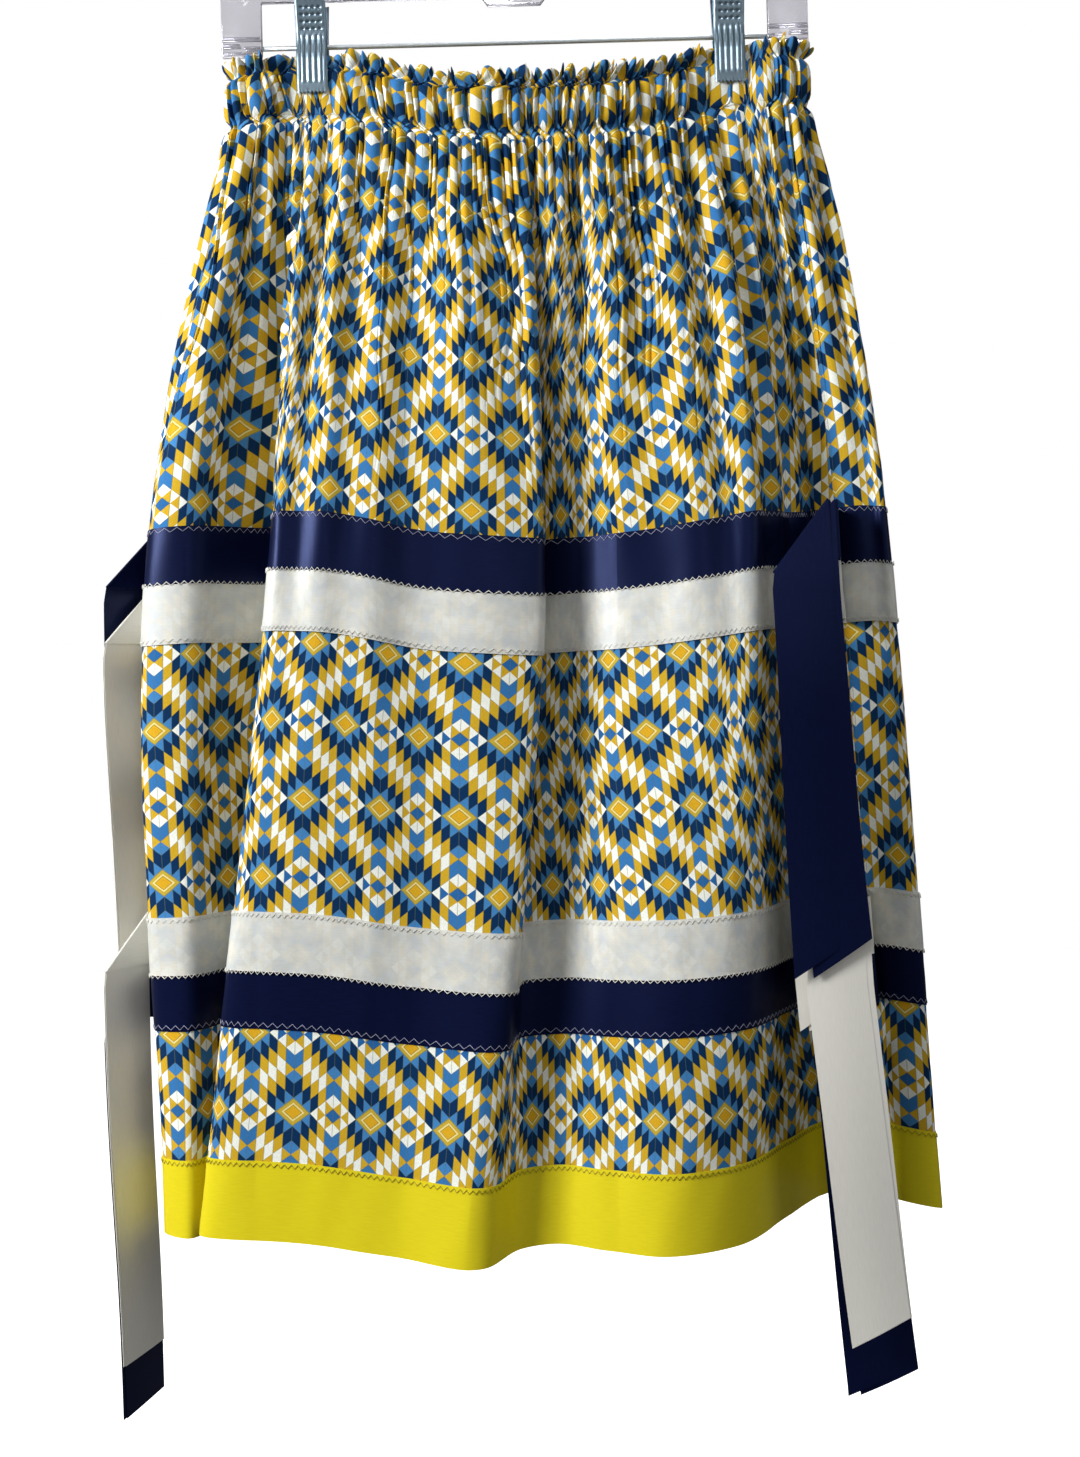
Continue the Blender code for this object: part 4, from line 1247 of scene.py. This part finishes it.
def clip_plate(name, middle, sign):
    """One pressed plate of a clip: flutes down to the jaw, rows of dimples at the finger end."""
    section = np.array(CLIP_SECTION, float)
    steps = np.concatenate([[0], np.cumsum(np.hypot(*np.diff(section, axis=0).T))])
    length = steps[-1]
    along = np.linspace(0, length, PLATE_ROWS)[:, None]
    shifts = (-BEND_SOFT, 0, BEND_SOFT)
    bent = [[np.interp(along + shift, steps, way) for shift in shifts] for way in section.T]
    y, z = np.mean(bent, axis=1)
    y[[0, -1], 0], z[[0, -1], 0] = section[[0, -1]].T
    place = np.linspace(-1, 1, PLATE_COLUMNS) * CLIP_WIDTH / 2
    flute = -np.cos(place / FLUTE_PITCH * 2 * math.pi) * (np.abs(place) < 2 * FLUTE_PITCH)
    flute = flute * np.clip((along - FLUTES_START) / FLUTES_FADE_IN, 0, 1)
    flute = flute * np.clip((length - FLUTES_END - along) / FLUTES_FADE_OUT, 0, 1)
    dimples = 0.0
    for row in range(DIMPLES):
        for column in range(DIMPLES):
            away_along = (along - FIRST_DIMPLE - DIMPLE_PITCH * row) / DIMPLE_ALONG
            away_across = (place - FLUTE_PITCH * (column - 1.5)) / DIMPLE_ACROSS
            dimples = dimples + np.exp(-(np.hypot(away_along, away_across) ** 4))
    edge = np.clip((np.abs(place) - CLIP_WIDTH / 2 + EDGE_WIDTH) / EDGE_FADE, 0, 1) ** 2
    at_jaw = along > length - TOOTH_LENGTH
    tooth = TOOTH_DEPTH * np.cos(place / TOOTH_PITCH * 2 * math.pi) * at_jaw
    stand = FLUTE_DEPTH * flute - DIMPLE_DEPTH * dimples - EDGE_ROLL * edge
    ways = np.broadcast_arrays(middle + place, sign * (y - stand), z + tooth)
    faces = grid_faces(PLATE_ROWS, PLATE_COLUMNS)
    if sign < 0:
        faces = faces[:, ::-1]
    plate = make_piece(name, np.stack(ways, axis=-1).reshape(-1, 3), faces, "zinc_plate")
    give_wall(plate, PLATE_WALL)
    return plate


def make_clips():
    """Two sprung clips on the rod: a front and a back plate each, and the spring between them."""
    for clip, middle in CLIPS.items():
        for side, sign in (("front", 1), ("back", -1)):
            plate = clip_plate(f"clip_{clip}_{side}_plate", middle, sign)
            dress(plate, "plated_steel", f"clip_{clip}_{side}")
        angle = np.linspace(0, 2 * math.pi * COIL_TURNS, 16 * COIL_TURNS)
        x = middle + np.linspace(-COIL_HALF, COIL_HALF, len(angle))
        y, z = COIL_RADIUS * np.sin(angle), ROD_Z + COIL_RADIUS * np.cos(angle)
        path = np.stack([x, y, z], axis=1)
        spring = make_wire(f"clip_{clip}_coil", path, COIL_WIRE, "drawn_steel", 8)
        dress(spring, "plated_steel", f"clip_{clip}_spring")


def make_studio():
    """Pale floor, soft light from the upper left and front, white surroundings, camera."""
    bpy.ops.object.select_all(action="DESELECT")
    bpy.ops.mesh.primitive_plane_add(size=6.0, location=(0, 0.6, FLOOR_Z))
    floor = bpy.context.object
    floor.name = "studio_floor"
    material, tree, shader = new_finish("pale_floor", 0.9)
    # A faint glow of its own keeps the floor as pale as the surroundings, and lights nothing else
    inputs = {"Base Color": linear("#F7F7F5"), "Emission Color": linear("#FFFFFF")}
    set_sockets(tree, shader, inputs | {"Emission Strength": FLOOR_GLOW})
    floor.visible_diffuse = False
    floor.visible_glossy = False
    floor.data.materials.append(material)

    world = bpy.data.worlds.new("studio")
    bpy.context.scene.world = world
    world.use_nodes = True
    tree = world.node_tree
    # The surroundings are white to the eye and through the clear hanger, but give little light
    rays = add_node(tree, "ShaderNodeLightPath").outputs
    seen = {0: rays["Is Camera Ray"], 1: rays["Is Transmission Ray"]}
    ray = add_node(tree, "ShaderNodeMath", {"operation": "MAXIMUM"}, seen).outputs[0]
    inputs = {"Value": ray, "To Min": ROOM_LIGHT, "To Max": 1.0}
    strength = add_node(tree, "ShaderNodeMapRange", inputs=inputs).outputs[0]
    set_sockets(tree, tree.nodes["Background"], {"Color": (1.0, 1.0, 1.0, 1.0), "Strength": strength})

    for lamp in LAMPS:
        area = bpy.data.lights.new(lamp.name, "AREA")
        area.size = lamp.size
        area.energy = lamp.power
        light = bpy.data.objects.new(lamp.name, area)
        light.location = lamp.place
        x, y, z = np.subtract(lamp.aim, lamp.place)
        light.rotation_euler = math.atan2(math.hypot(x, y), -z), 0.0, math.atan2(-x, y)
        bpy.context.collection.objects.link(light)

    lens = bpy.data.cameras.new("camera")
    lens.sensor_fit = "VERTICAL"
    lens.sensor_height = SENSOR
    lens.lens = CAMERA_LENS
    camera = bpy.data.objects.new("camera", lens)
    camera.location = CAMERA_PLACE
    camera.rotation_euler = (math.pi / 2, math.radians(CAMERA_ROLL), 0.0)
    bpy.context.collection.objects.link(camera)
    bpy.context.scene.camera = camera
    bpy.context.scene.view_settings.view_transform = "Standard"


finishes = make_finishes()
make_studio()
make_cloth()
make_stitching()
make_tails()
make_hanger()
make_clips()
